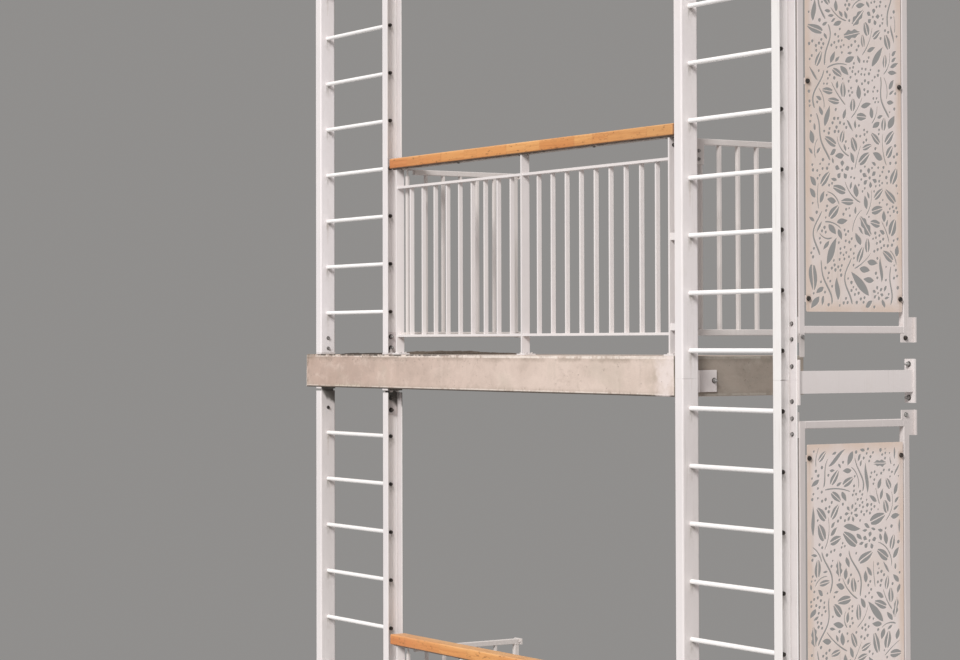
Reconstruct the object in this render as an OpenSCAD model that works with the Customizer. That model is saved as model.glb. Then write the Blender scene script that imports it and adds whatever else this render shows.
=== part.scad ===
// Escape ladders with balconies on a house wall.
// X runs along the wall, Y into the wall, Z up from the ground.
// The origin is the middle of the underside of the foot plate under the
// right ladder's left stile.

/* [Storeys] */
// Height from one floor level to the next
storey_h = 2760; // [2600:10:3000]
// How far the ladders and rails stand above the top balcony
top_h = 1142; // [1100:2:1200]

/* [Balcony slabs] */
// Length of a slab along the wall
slab_len = 3761; // [3600:1:3900]
// Thickness of a slab
slab_t = 200; // [160:5:240]
// Distance from the ladders' middle plane to the wall
wall_y = 770; // [760:5:900]

/* [Ladders] */
// Distance between two rungs
rung_pitch = 280; // [260:5:300]
// Diameter of a rung
rung_d = 23; // [20:1:28]
// Depth of a stile's channel section
stile_w = 100; // [90:2:110]
// Width of the channel's flanges
stile_f = 60; // [50:1:64]
// Thickness of the channel
stile_t = 6; // [4:0.5:8]
// Clear width of the right ladder
right_clear = 685; // [600:5:690]
// Clear width of the left ladder
left_clear = 745; // [650:5:750]
// Height of the lowest right-hand rung
right_first = 226; // [180:1:280]

/* [Railings] */
// Height of the timber handrail's top above the slab
rail_h = 1139; // [1100:1:1200]
// Height of the timber handrail's section
hand_t = 60; // [45:1:65]
// Depth of the timber handrail's section
hand_w = 100; // [80:1:100]
// Balusters in each half of the front balustrade
bal_n = 9; // [7:1:10]
// Width of a baluster seen from the front
bal_w = 12; // [8:1:14]
// Depth of a baluster
bal_d = 23; // [18:1:30]

/* [Side screens] */
// Size of the square frame tube
tube = 35; // [30:1:40]
// Thickness of the screen sheet
sheet_t = 3; // [2:0.5:5]

/* [Hidden] */
$fn = 32;
e = 0.01;

// stile faces of the right ladder
rx0 = stile_f / 2;                 // inner face of the left web
rx1 = rx0 + right_clear;           // inner face of the right web
// stile faces of the left ladder
lx1 = -2870;                       // inner face of the right web
lx0 = lx1 - left_clear;            // inner face of the left web
front = -stile_w / 2;              // front plane of slabs and ladders
rear = stile_w / 2;
slab_x1 = -42;                     // right end of a slab
slab_x0 = slab_x1 - slab_len;
joint_dz = -120;                   // middle of the wall bars below a slab top
cut_dz = -110;                     // butt joints of the right stiles below a slab top
foot_t = 12;                       // foot plate
top_z = 3 * storey_h + top_h;
// front balustrade
post_x = [-2733, -1414, -95];      // post middles
post_w = 12;
post_d = 50;
// side railings
ret_w = 30;                        // square tube
ret_lo = 100;                      // underside of the lower tube
ret_hi = 1041.5;                   // underside of the upper tube
bal_y = front + 15;                // front plane of the posts
sub_z = 961.5;                     // underside of the upper rail
bot_z = 102;                       // underside of the lower rail
bar_t = 13.5;
saddle_t = 6;
// side screens
scr_x1 = rx1 + stile_f + 2;        // outer face of the frames
scr_x0 = scr_x1 - tube;
scr_y0 = rear + 10;
scr_y1 = wall_y - 34;
scr_lo = 106;                      // frame above the floor below
scr_hi = 300;                      // frame below the floor above
sheet_lo = 207.5;
sheet_hi = 408.5;
sheet_bolts = [268.5, 1278.5, storey_h - 471.5];
hole_r = 7;

function lev(i) = i * storey_h;

// ---- shared shapes ----------------------------------------------------

module box(x0, x1, y0, y1, z0, z1) {
    translate([x0, y0, z0]) cube([x1 - x0, y1 - y0, z1 - z0]);
}

// outline of a web at x = 0 with both flanges towards +x, round outer bends
module bend_outline(len, w, r) {
    union() {
        translate([r, -w / 2]) square([len - r, w]);
        translate([0, -w / 2 + r]) square([r + e, w - 2 * r]);
        for (s = [-1, 1]) translate([r, s * (w / 2 - r)]) circle(r);
    }
}

module channel_2d() {
    difference() {
        bend_outline(stile_f, stile_w, 9);
        translate([stile_t, 0]) bend_outline(stile_f, stile_w - 2 * stile_t, 9 - stile_t);
    }
}

// a channel from z0 to z1; its web's inner face is at x, flanges towards dir
module channel(x, dir, z0, z1) {
    translate([x, 0, z0]) linear_extrude(z1 - z0)
        if (dir > 0) channel_2d(); else mirror([1, 0]) channel_2d();
}

module rung(x0, x1, z) {
    translate([x0, 0, z]) rotate([0, 90, 0]) cylinder(h = x1 - x0, d = rung_d);
}

// ---- balconies --------------------------------------------------------

module slab(i) {
    color([0.78, 0.69, 0.63])
        box(slab_x0, slab_x1, front, wall_y, lev(i) - slab_t, lev(i));
}

module front_balustrade(i) {
    z = lev(i);
    rail_top = rail_h - hand_t;
    step = (post_x[1] - post_x[0]) / (bal_n + 1);
    color([0.93, 0.91, 0.90]) union() {
        for (x = post_x) {
            box(x - post_w / 2, x + post_w / 2, bal_y, bal_y + post_d, z, z + rail_top);
            // foot plate of the post
            box(x - 40, x + 40, bal_y - 5, bal_y + post_d + 15, z, z + 8);
        }
        // upper and lower rails, flat bars on their side
        for (h = [sub_z, bot_z])
            box(post_x[0], post_x[2], bal_y + 5, bal_y + 45, z + h, z + h + bar_t);
        // flat bar under the timber
        box(-2780, -53, bal_y + 5, bal_y + 45, z + rail_top - saddle_t, z + rail_top);
        for (p = [0, 1], k = [1:bal_n])
            box(post_x[p] + k * step - bal_w / 2, post_x[p] + k * step + bal_w / 2,
                bal_y + 17, bal_y + 17 + bal_d, z + bot_z + bar_t - e, z + sub_z + e);
        // flat clips from the right end post to the ladder's web
        for (h = [125, 568])
            box(post_x[2], rx0 - stile_t, bal_y + 4, bal_y + 12, z + h, z + h + 35);
    }
}

module handrail(i) {
    r = 9;
    color([0.80, 0.52, 0.30]) translate([-2789, 0, lev(i) + rail_h - hand_t])
        rotate([90, 0, 90]) linear_extrude(2789 - 44)
            union() {
                translate([front + r, 0]) square([hand_w - 2 * r, hand_t]);
                translate([front, r]) square([hand_w, hand_t - 2 * r]);
                for (y = [front + r, front + hand_w - r], v = [r, hand_t - r])
                    translate([y, v]) circle(r);
            }
}

// square tube section with rounded arrises, its corner at the origin
module tube_2d(w, h, r) {
    union() {
        translate([r, 0]) square([w - 2 * r, h]);
        translate([0, r]) square([w, h - 2 * r]);
        for (u = [r, w - r], v = [r, h - r]) translate([u, v]) circle(r);
    }
}

// tube along y
module tube_y(x, z, w, y0, y1) {
    translate([x, y1, z]) rotate([90, 0, 0]) linear_extrude(y1 - y0) tube_2d(w, w, 4);
}

// tube along z
module tube_z(x, y, w, z0, z1) {
    translate([x, y, z0]) linear_extrude(z1 - z0) tube_2d(w, w, 4);
}

// side railing: two square tubes, flat uprights between them, wall plates.
// x0 is its left face, the tubes start at y_top and y_bot
module return_railing(x0, z, y_top, y_bot, bars) {
    c = x0 + ret_w / 2;
    union() {
        tube_y(x0, z + ret_hi, ret_w, y_top, wall_y - 8 + e);
        tube_y(x0, z + ret_lo, ret_w, y_bot, wall_y - 8 + e);
        for (y = bars)
            box(c - 12, c + 12, y - 6, y + 6, z + ret_lo + ret_w - 1, z + ret_hi + 1);
        for (h = [ret_lo, ret_hi])
            box(c - 38, c + 38, wall_y - 8, wall_y, z + h + ret_w / 2 - 17, z + h + ret_w / 2 + 17);
    }
}

module left_return_railing(i) {
    x0 = -2688;
    z = lev(i);
    c = x0 + 5;
    color([0.91, 0.89, 0.88]) union() {
        return_railing(x0, z, 50, 0, [for (k = [1:5]) 12 + k * 118]);
        // upright tube at the wall
        tube_z(x0, wall_y - 8 - ret_w + 0.5, ret_w, z + ret_lo + 5, z + ret_hi + 5);
        // strip that ties the upper tube to the bar under the timber
        box(x0, x0 + ret_w, bal_y + 25, 60, z + ret_hi + ret_w - 6, z + rail_h - hand_t - saddle_t);
        // first upright with its stud
        box(c - 12, c + 12, 6, 18, z + ret_lo + ret_w - 1, z + ret_hi - 9);
        box(c - 4, c + 4, 8, 16, z + ret_hi - 10, z + ret_hi + ret_w - 5);
        // lug to the post
        box(post_x[0] + post_w / 2, x0 + 5, -5, 13, z + ret_lo + 2, z + ret_lo + ret_w - 2);
    }
}

module right_return_railing(i) {
    x0 = post_x[2] + post_w / 2;
    x1 = x0 + ret_w;
    z = lev(i);
    color([0.91, 0.89, 0.88]) union() {
        return_railing(x0, z, bal_y + post_d + 5, bal_y + post_d + 5, [for (k = [0:6]) 24 + k * 118]);
        // end plates of the tubes on the post's rear edge
        for (h = [ret_lo, ret_hi])
            box(post_x[2] - post_w / 2, x1, bal_y + post_d, bal_y + post_d + 6, z + h, z + h + ret_w);
        // angle plate under the upper tube, bolted to the ladder's rear flange
        box(x1 - 6, x1, rear, 155, z + 944, z + ret_hi + 5);
        box(x1 - 6, 18, rear, rear + 6, z + 944, z + ret_hi - 3);
    }
}

// ---- left ladder ------------------------------------------------------

// seg 1 stands on the ground, seg 2 to 4 on slabs 1 to 3
function seg_z0(s) = s == 1 ? foot_t : lev(s - 1) + 10;
function seg_z1(s) = s == 4 ? top_z : lev(s) - slab_t - 22;
function seg_first(s) = s < 3 ? 322 : 250;
function seg_rungs(s) = s == 4 ? 4 : 8;

module left_ladder_stiles(s) {
    color([0.93, 0.91, 0.90]) {
        channel(lx0, -1, seg_z0(s), seg_z1(s));
        channel(lx1, 1, seg_z0(s), seg_z1(s));
    }
}

module left_ladder_rungs(s) {
    color([0.95, 0.94, 0.93])
        for (k = [0:seg_rungs(s) - 1])
            rung(lx0, lx1, lev(s - 1) + seg_first(s) + k * rung_pitch);
}

// angle of 8 mm plate inside a stile's channel: flat on z, leg along the web
module cleat(x, dir, z, up) {
    w = stile_w / 2 - stile_t - 4;
    a = x + dir * stile_t;
    b = x + dir * (stile_t + 8);
    c = x + dir * stile_f;
    z1 = z + up * 10;
    z2 = z + up * (up > 0 ? 130 : 155);
    union() {
        box(min(x, c), max(x, c), front, rear, min(z, z1), max(z, z1));
        box(min(a, b), max(a, b), -w, w, min(z1 - up * e, z2), max(z1 - up * e, z2));
    }
}

module left_ladder_cleats() {
    color([0.90, 0.88, 0.87]) for (i = [1:3]) {
        cleat(lx0, -1, lev(i), 1);
        cleat(lx1, 1, lev(i), 1);
        cleat(lx0, -1, lev(i) - slab_t, -1);
        cleat(lx1, 1, lev(i) - slab_t, -1);
    }
}

// ---- right ladder -----------------------------------------------------

function sec_z0(s) = s == 1 ? foot_t : lev(s - 1) + cut_dz + 0.4;
function sec_z1(s) = s == 4 ? top_z : lev(s) + cut_dz - 0.4;

module right_ladder_stiles(s) {
    color([0.95, 0.93, 0.92]) {
        channel(rx0, -1, sec_z0(s), sec_z1(s));
        channel(rx1, 1, sec_z0(s), sec_z1(s));
    }
}

module right_ladder_rungs(s) {
    last = floor((top_z - 60 - right_first) / rung_pitch);
    color([0.96, 0.95, 0.94])
        for (k = [0:last], z = right_first + k * rung_pitch)
            if (z > sec_z0(s) && z < sec_z1(s)) rung(rx0, rx1, z);
}

// ---- fixings ----------------------------------------------------------

module wall_bar(i) {
    z = lev(i) + joint_dz;
    color([0.92, 0.90, 0.89]) difference() {
        union() {
            // plate across the joint of the stile, on its rear flange
            box(rx1 + 2, scr_x1 + 10, rear, rear + 8, z - 105, z + 105);
            // flat bar to the wall
            box(scr_x1 - 10, scr_x1, rear + 7, wall_y - 9, z - 52.5, z + 52.5);
            // plate on the wall
            box(rx1 + 2, scr_x1 + 10, wall_y - 10, wall_y, z - 105, z + 105);
        }
        for (s = [-80, 80])
            translate([rx1 + 33, wall_y + 5, z + s]) rotate([90, 0, 0]) cylinder(h = 20, r = hole_r);
    }
}

module slab_brackets() {
    color([0.92, 0.90, 0.89]) for (i = [1:3]) union() {
        z = lev(i) + joint_dz - 4;
        box(slab_x1, slab_x1 + 8, rear, 210, z - 54, z + 54);
        box(slab_x1, rx0 - 6, rear, rear + 8, z - 54, z + 54);
    }
}

module foot_plates() {
    color([0.90, 0.88, 0.87])
        for (x = [0, rx1 + stile_f / 2, lx1 + stile_f / 2, lx0 - stile_f / 2])
            difference() {
                box(x - 70, x + 70, -80, 80, 0, foot_t);
                for (u = [-50, 50], v = [-60, 60])
                    translate([x + u, v, -5]) cylinder(h = foot_t + 10, r = hole_r);
            }
}

// ---- side screens -----------------------------------------------------

module screen_frame(i) {
    z0 = lev(i - 1) + scr_lo;
    z1 = lev(i) - scr_hi;
    color([0.91, 0.89, 0.88]) union() {
        tube_z(scr_x0, scr_y0, tube, z0, z1);
        tube_z(scr_x0, scr_y1 - tube, tube, z0, z1);
        for (z = [z0, z1 - tube]) tube_y(scr_x0, z, tube, scr_y0 + tube - 5, scr_y1 - tube + 5);
        // plates on the stile's rear flange, two each
        for (z = [z0 + tube / 2, z1 - tube / 2])
            box(rx1 + 10, scr_x1 - 4, rear, scr_y0 + 2, z - 60, z + 60);
        // angle plates on the wall
        for (z = [z0 + tube / 2, z1 - tube / 2]) {
            box(scr_x1 - 6, scr_x1, scr_y1 - 5, wall_y, z - 60, z + 60);
            box(scr_x1 - 6, scr_x1 + 15, wall_y - 8, wall_y, z - 60, z + 60);
        }
        // ears of the wall plates below and above the corners
        box(scr_x1 - 6, scr_x1, scr_y1 - 50, scr_y1, z0 + tube / 2 - 60, z0 + 1);
        box(scr_x1 - 6, scr_x1, scr_y1 - 50, scr_y1, z1 - 1, z1 - tube / 2 + 60);
        // tongue under the post beside the ladder
        box(scr_x1 - 6, scr_x1, scr_y0 + 6, scr_y0 + 32, max(lev(i - 1) - 2.5, foot_t + 4), z0 + 5);
        // six small tabs that carry the sheet
        for (z = sheet_bolts, y = [scr_y0 + tube - 1, scr_y1 - tube - 31])
            box(scr_x1 - sheet_t - 6, scr_x1 - sheet_t, y, y + 32,
                lev(i - 1) + z - 15, lev(i - 1) + z + 15);
    }
}

module screen_sheet(i) {
    color([0.87, 0.83, 0.79])
        box(scr_x1 - sheet_t, scr_x1, scr_y0 + tube + 10, scr_y1 - tube - 9,
            lev(i - 1) + sheet_lo, lev(i) - sheet_hi);
}

// ---- assembly ---------------------------------------------------------

slab(1);  // slab_1
slab(2);  // slab_2
slab(3);  // slab_3
front_balustrade(1);  // front_balustrade_1
front_balustrade(2);  // front_balustrade_2
front_balustrade(3);  // front_balustrade_3
handrail(1);  // handrail_1
handrail(2);  // handrail_2
handrail(3);  // handrail_3
left_return_railing(1);  // left_return_railing_1
left_return_railing(2);  // left_return_railing_2
left_return_railing(3);  // left_return_railing_3
right_return_railing(1);  // right_return_railing_1
right_return_railing(2);  // right_return_railing_2
right_return_railing(3);  // right_return_railing_3
left_ladder_stiles(1);  // left_ladder_stiles_1
left_ladder_stiles(2);  // left_ladder_stiles_2
left_ladder_stiles(3);  // left_ladder_stiles_3
left_ladder_stiles(4);  // left_ladder_stiles_4
left_ladder_rungs(1);  // left_ladder_rungs_1
left_ladder_rungs(2);  // left_ladder_rungs_2
left_ladder_rungs(3);  // left_ladder_rungs_3
left_ladder_rungs(4);  // left_ladder_rungs_4
left_ladder_cleats();
right_ladder_stiles(1);  // right_ladder_stiles_1
right_ladder_stiles(2);  // right_ladder_stiles_2
right_ladder_stiles(3);  // right_ladder_stiles_3
right_ladder_stiles(4);  // right_ladder_stiles_4
right_ladder_rungs(1);  // right_ladder_rungs_1
right_ladder_rungs(2);  // right_ladder_rungs_2
right_ladder_rungs(3);  // right_ladder_rungs_3
right_ladder_rungs(4);  // right_ladder_rungs_4
wall_bar(1);  // wall_bar_1
wall_bar(2);  // wall_bar_2
wall_bar(3);  // wall_bar_3
slab_brackets();
foot_plates();
screen_frame(1);  // screen_frame_1
screen_frame(2);  // screen_frame_2
screen_frame(3);  // screen_frame_3
screen_sheet(1);  // screen_sheet_1
screen_sheet(2);  // screen_sheet_2
screen_sheet(3);  // screen_sheet_3
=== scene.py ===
import math
import random

import bpy
import numpy as np
from mathutils import Matrix, Vector, geometry, noise


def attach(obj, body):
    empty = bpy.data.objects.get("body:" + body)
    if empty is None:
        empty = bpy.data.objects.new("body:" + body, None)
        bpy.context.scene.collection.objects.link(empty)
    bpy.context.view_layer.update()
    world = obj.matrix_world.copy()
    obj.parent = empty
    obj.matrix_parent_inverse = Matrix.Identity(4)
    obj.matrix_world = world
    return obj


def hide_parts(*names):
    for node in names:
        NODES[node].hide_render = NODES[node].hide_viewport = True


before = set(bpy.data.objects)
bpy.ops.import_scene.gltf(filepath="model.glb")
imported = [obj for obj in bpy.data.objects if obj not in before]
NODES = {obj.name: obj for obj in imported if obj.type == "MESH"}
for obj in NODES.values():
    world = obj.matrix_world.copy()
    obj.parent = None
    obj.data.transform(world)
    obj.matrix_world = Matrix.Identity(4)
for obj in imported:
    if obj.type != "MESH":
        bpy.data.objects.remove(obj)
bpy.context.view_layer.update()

STOREY = 2.76
LEV = [STOREY * k for k in range(4)]
SCENE = bpy.context.scene

# ---------------------------------------------------------------------------
# camera: the photograph's view, for an image of 960 x 660
# ---------------------------------------------------------------------------

YAW, PITCH, ROLL = math.radians(57.619), math.radians(1.156), math.radians(-0.141)
d = Vector((-math.sin(YAW) * math.cos(PITCH), math.cos(YAW) * math.cos(PITCH), math.sin(PITCH)))
r0 = Vector((math.cos(YAW), math.sin(YAW), 0.0))
u0 = r0.cross(d)
r = r0 * math.cos(ROLL) + u0 * math.sin(ROLL)
u = -r0 * math.sin(ROLL) + u0 * math.cos(ROLL)
cam_data = bpy.data.cameras.new("camera")
cam = bpy.data.objects.new("camera", cam_data)
SCENE.collection.objects.link(cam)
cam.matrix_world = Matrix((
    (r.x, u.x, -d.x, 9.6348),
    (r.y, u.y, -d.y, -7.3013),
    (r.z, u.z, -d.z, 5.5877),
    (0, 0, 0, 1)))
cam_data.sensor_fit = "HORIZONTAL"
cam_data.sensor_width = 36.0
cam_data.lens = 92.69
cam_data.shift_x = -0.00026
cam_data.shift_y = -0.03884
cam_data.clip_start, cam_data.clip_end = 0.1, 300.0
SCENE.camera = cam

# ---------------------------------------------------------------------------
# light: one broad soft key from above, in front and to the right, and a soft sky
# ---------------------------------------------------------------------------

key_data = bpy.data.lights.new("key", "SUN")
key_data.energy = 2.98
key_data.angle = math.radians(20)
key_data.color = (1.0, 0.985, 0.97)
key = bpy.data.objects.new("key", key_data)
key.rotation_mode = "QUATERNION"
key.rotation_quaternion = Vector((0.47, -0.74, 0.62)).to_track_quat("Z", "Y")
SCENE.collection.objects.link(key)

world = bpy.data.worlds.new("studio")
SCENE.world = world
world.use_nodes = True
wt = world.node_tree
wt.nodes.clear()
w_out = wt.nodes.new("ShaderNodeOutputWorld")
w_bg = wt.nodes.new("ShaderNodeBackground")
w_co = wt.nodes.new("ShaderNodeTexCoord")
w_sep = wt.nodes.new("ShaderNodeSeparateXYZ")
w_map = wt.nodes.new("ShaderNodeMapRange")
w_map.inputs["From Min"].default_value = -1.0
w_map.inputs["From Max"].default_value = 1.0
w_ramp = wt.nodes.new("ShaderNodeValToRGB")
stops = [(0.0, (0.11, 0.105, 0.10)), (0.30, (0.17, 0.165, 0.16)), (0.42, (0.28, 0.272, 0.265)),
         (0.60, (0.28, 0.272, 0.265)), (0.74, (0.52, 0.512, 0.505)), (1.0, (0.90, 0.893, 0.89))]
els = w_ramp.color_ramp.elements
while len(els) < len(stops):
    els.new(0.5)
for e_, (pos, col) in zip(els, stops):
    e_.position = pos
    e_.color = (*col, 1.0)
wt.links.new(w_co.outputs["Generated"], w_sep.inputs[0])
wt.links.new(w_sep.outputs["Z"], w_map.inputs["Value"])
wt.links.new(w_map.outputs["Result"], w_ramp.inputs["Fac"])
wt.links.new(w_ramp.outputs["Color"], w_bg.inputs["Color"])
wt.links.new(w_bg.outputs[0], w_out.inputs["Surface"])
SCENE.view_settings.view_transform = "Standard"

# ---------------------------------------------------------------------------
# materials
# ---------------------------------------------------------------------------


def lin(r_, g_, b_):
    """sRGB bytes to a linear colour."""
    def one(c):
        c /= 255.0
        return c / 12.92 if c <= 0.04045 else ((c + 0.055) / 1.055) ** 2.4
    return (one(r_), one(g_), one(b_), 1.0)


class Mat:
    """A node material with short helpers; each returns an output socket."""

    def __init__(self, name):
        self.m = bpy.data.materials.new(name)
        self.m.use_nodes = True
        self.t = self.m.node_tree
        self.t.nodes.clear()
        out = self.t.nodes.new("ShaderNodeOutputMaterial")
        self.bsdf = self.t.nodes.new("ShaderNodeBsdfPrincipled")
        self.t.links.new(self.bsdf.outputs[0], out.inputs["Surface"])
        co = self.t.nodes.new("ShaderNodeTexCoord")
        self.co = co.outputs["Object"]
        geo = self.t.nodes.new("ShaderNodeNewGeometry")
        sep = self.t.nodes.new("ShaderNodeSeparateXYZ")
        self.t.links.new(self.co, sep.inputs[0])
        self.x, self.y, self.z = sep.outputs
        nrm = self.t.nodes.new("ShaderNodeSeparateXYZ")
        self.t.links.new(geo.outputs["Normal"], nrm.inputs[0])
        self.nx, self.ny, self.nz = nrm.outputs

    def put(self, sock, v):
        if isinstance(v, bpy.types.NodeSocket):
            self.t.links.new(v, sock)
        elif v is not None:
            sock.default_value = v

    def math(self, op, a, b=None, c=None, clamp=False):
        n = self.t.nodes.new("ShaderNodeMath")
        n.operation = op
        n.use_clamp = clamp
        for s, v in zip(n.inputs, (a, b, c)):
            self.put(s, v)
        return n.outputs[0]

    def mul(self, *v):
        out = v[0]
        for x in v[1:]:
            out = self.math("MULTIPLY", out, x)
        return out

    def add(self, *v):
        out = v[0]
        for x in v[1:]:
            out = self.math("ADD", out, x)
        return out

    def step(self, v, a, b, lo=0.0, hi=1.0):
        """Smooth step: lo where v is a, hi where v is b."""
        n = self.t.nodes.new("ShaderNodeMapRange")
        n.interpolation_type = "SMOOTHSTEP"
        self.put(n.inputs["Value"], v)
        if a <= b:
            n.inputs["From Min"].default_value, n.inputs["From Max"].default_value = a, b
            n.inputs["To Min"].default_value, n.inputs["To Max"].default_value = lo, hi
        else:
            n.inputs["From Min"].default_value, n.inputs["From Max"].default_value = b, a
            n.inputs["To Min"].default_value, n.inputs["To Max"].default_value = hi, lo
        return n.outputs["Result"]

    def scaled(self, sx, sy, sz, off=(0, 0, 0)):
        n = self.t.nodes.new("ShaderNodeMapping")
        n.inputs["Location"].default_value = off
        n.inputs["Scale"].default_value = (sx, sy, sz)
        self.t.links.new(self.co, n.inputs["Vector"])
        return n.outputs[0]

    def vec(self, a, b, c):
        n = self.t.nodes.new("ShaderNodeCombineXYZ")
        for s, v in zip(n.inputs, (a, b, c)):
            self.put(s, v)
        return n.outputs[0]

    def noise(self, vec=None, scale=1.0, detail=3.0, rough=0.55, distort=0.0):
        n = self.t.nodes.new("ShaderNodeTexNoise")
        self.put(n.inputs["Vector"], vec if vec is not None else self.co)
        n.inputs["Scale"].default_value = scale
        n.inputs["Detail"].default_value = detail
        n.inputs["Roughness"].default_value = rough
        n.inputs["Distortion"].default_value = distort
        return n.outputs["Fac"]

    def voronoi(self, vec=None, scale=1.0, feature="F1", rand=1.0, out="Distance"):
        n = self.t.nodes.new("ShaderNodeTexVoronoi")
        n.feature = feature
        self.put(n.inputs["Vector"], vec if vec is not None else self.co)
        n.inputs["Scale"].default_value = scale
        n.inputs["Randomness"].default_value = rand
        return n.outputs[out]

    def white(self, vec):
        n = self.t.nodes.new("ShaderNodeTexWhiteNoise")
        self.t.links.new(vec, n.inputs["Vector"])
        return n.outputs["Value"]

    def mix(self, fac, a, b, blend="MIX"):
        n = self.t.nodes.new("ShaderNodeMix")
        n.data_type = "RGBA"
        n.blend_type = blend
        n.clamp_factor = True
        self.put(n.inputs[0], fac)
        self.put(n.inputs[6], a)
        self.put(n.inputs[7], b)
        return n.outputs[2]

    def ao(self, dist, samples=6, inside=False):
        n = self.t.nodes.new("ShaderNodeAmbientOcclusion")
        n.samples = samples
        n.inside = inside
        n.inputs["Distance"].default_value = dist
        return n.outputs["AO"]

    def bump(self, height, dist, strength=1.0, after=None):
        n = self.t.nodes.new("ShaderNodeBump")
        n.inputs["Strength"].default_value = strength
        n.inputs["Distance"].default_value = dist
        self.t.links.new(height, n.inputs["Height"])
        if after is not None:
            self.t.links.new(after, n.inputs["Normal"])
        return n.outputs[0]

    def finish(self, color, rough, normal=None, metallic=0.0, **const):
        self.put(self.bsdf.inputs["Base Color"], color)
        self.put(self.bsdf.inputs["Roughness"], rough)
        self.put(self.bsdf.inputs["Metallic"], metallic)
        if normal is not None:
            self.put(self.bsdf.inputs["Normal"], normal)
        for k, v in const.items():
            self.bsdf.inputs[k.replace("_", " ")].default_value = v
        return self.m


WHITE = (0.835, 0.790, 0.790, 1.0)
GRIME_AND_SHADE = (0.36, 0.325, 0.28, 1.0)
RUST = (0.30, 0.115, 0.040, 1.0)


def paint(name, base=WHITE, rungs=None, streaks=1.0, rust=1.0, joint=None, saddle=False, dusty=0.30, fresh=None, soffit=None, painted_light_from=None, tongue=False, painted_bounce_under=False):
    """Off-white paint over galvanized steel: tone drift, rain streaks, dust on what faces up,
    dirt and painted shade in corners, painted shade on sheltered inner faces and low down, rust
    freckles and orange peel. rungs = (z of a rung, highest rung's z) adds the dirt under rung ends
    and nuts on a stile, with a streak back and down from each rung end that is partly painted shadow.
    joint = heights of butt joints. saddle paints the flat bar under the timber dark as painted shade
    and the rail's painted shadow on the post tops. fresh = x beyond which the paint has stayed whiter.
    soffit = height of the slab's underside above a stile, "each" for every slab's; a painted shadow of the slab falls
    below it. clean = x beyond which webs that face +x are painted whiter as painted light. tongue paints shade on the
    lugs at the foot of the screens. painted_bounce_under paints what faces down paler as painted bounce light."""
    m = Mat(name)
    drift = m.noise(scale=1.7, detail=3)
    patch = m.noise(m.scaled(1, 1, 0.6), scale=9.0, detail=4, rough=0.6)
    c = m.mix(m.step(drift, 0.35, 0.68), base, (base[0] * 0.955, base[1] * 0.955, base[2] * 0.965, 1))
    if fresh is not None:
        c = m.mix(m.mul(m.step(m.x, fresh - 0.1, fresh + 0.1), m.step(m.y, -0.040, -0.046)), c, (0.845, 0.822, 0.812, 1))
    # painted shade: faces that look to the front from behind y = 0.03, such as the back of a channel, are darker where
    # the AO finds shelter; everything below the second slab is darker too, side faces most
    painted_hollow_shade = m.mul(m.step(m.ao(0.14, 5), 0.86, 0.42), m.step(m.ny, -0.3, -0.7), m.step(m.y, 0.0, 0.03))
    c = m.mix(m.mul(painted_hollow_shade, 0.46), c, (base[0] * 0.62, base[1] * 0.60, base[2] * 0.59, 1))
    painted_low_shade = m.mul(m.step(m.z, 5.50, 5.05), m.step(m.math("ABSOLUTE", m.nx), 0.4, 0.8, 0.30, 0.64))
    c = m.mix(painted_low_shade, c, (base[0] * 0.78, base[1] * 0.77, base[2] * 0.76, 1))
    c = m.mix(m.step(patch, 0.52, 0.78, 0.0, 0.35), c, (base[0] * 0.90, base[1] * 0.885, base[2] * 0.86, 1))
    # rain streaks on upright faces
    upright = m.step(m.math("ABSOLUTE", m.nz), 0.5, 0.2)
    run = m.noise(m.scaled(1, 1, 0.035), scale=95.0, detail=4, rough=0.62)
    fade = m.noise(m.scaled(1, 1, 0.5, (3, 1, 7)), scale=3.1, detail=2)
    c = m.mix(m.mul(m.step(run, 0.56, 0.78), m.step(fade, 0.42, 0.66), upright, 0.34 * streaks), c, GRIME_AND_SHADE)
    light_run = m.noise(m.scaled(1, 1, 0.03, (9, 4, 2)), scale=130.0, detail=3)
    c = m.mix(m.mul(m.step(light_run, 0.6, 0.8), upright, 0.30), c, (0.90, 0.865, 0.85, 1))
    # dust and soot on faces that look up
    up = m.step(m.nz, 0.55, 0.95)
    dust = m.noise(scale=34.0, detail=4, rough=0.65)
    c = m.mix(m.mul(up, m.step(dust, 0.42, 0.72), dusty), c, (0.53, 0.49, 0.44, 1))
    # dirt and painted shade kept in corners, where the AO finds them
    shade = m.ao(0.035, 5)
    corner = m.mul(m.step(shade, 0.72, 0.26), m.step(m.noise(scale=60.0, detail=3), 0.28, 0.62, 0.35, 1.0))
    c = m.mix(m.mul(corner, 0.36), c, GRIME_AND_SHADE)
    if saddle:
        rel = m.math("FLOORED_MODULO", m.z, STOREY)
        # painted shade: the flat bar under the timber is painted dark brown
        stain = m.mul(m.step(rel, 1.0700, 1.0738), m.step(rel, 1.0815, 1.0800))
        tone_s = m.noise(m.scaled(1, 3, 1, (3, 3, 3)), scale=26.0, detail=4, rough=0.65)
        c = m.mix(m.mul(stain, m.step(tone_s, 0.25, 0.70, 0.92, 0.62)), c,
                  m.mix(m.step(tone_s, 0.35, 0.65), (0.095, 0.060, 0.036, 1), (0.235, 0.165, 0.110, 1)))
        # side faces at the left end of the balustrade are paler; the rail's painted shadow falls diagonally on the
        # sides of the posts just under the bar
        c = m.mix(m.mul(m.step(m.x, -2.3, -2.6), m.step(m.math("ABSOLUTE", m.nx), 0.4, 0.8), 0.55), c, (0.900, 0.850, 0.845, 1))
        painted_rail_shadow = m.mul(m.step(m.math("MULTIPLY_ADD", m.y, 0.9, rel), 1.022, 1.064), m.step(rel, 1.0815, 1.0800),
                     m.step(m.math("ABSOLUTE", m.nx), 0.4, 0.8))
        c = m.mix(m.mul(painted_rail_shadow, 0.42), c, (0.17, 0.160, 0.145, 1))
    if tongue:
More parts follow.
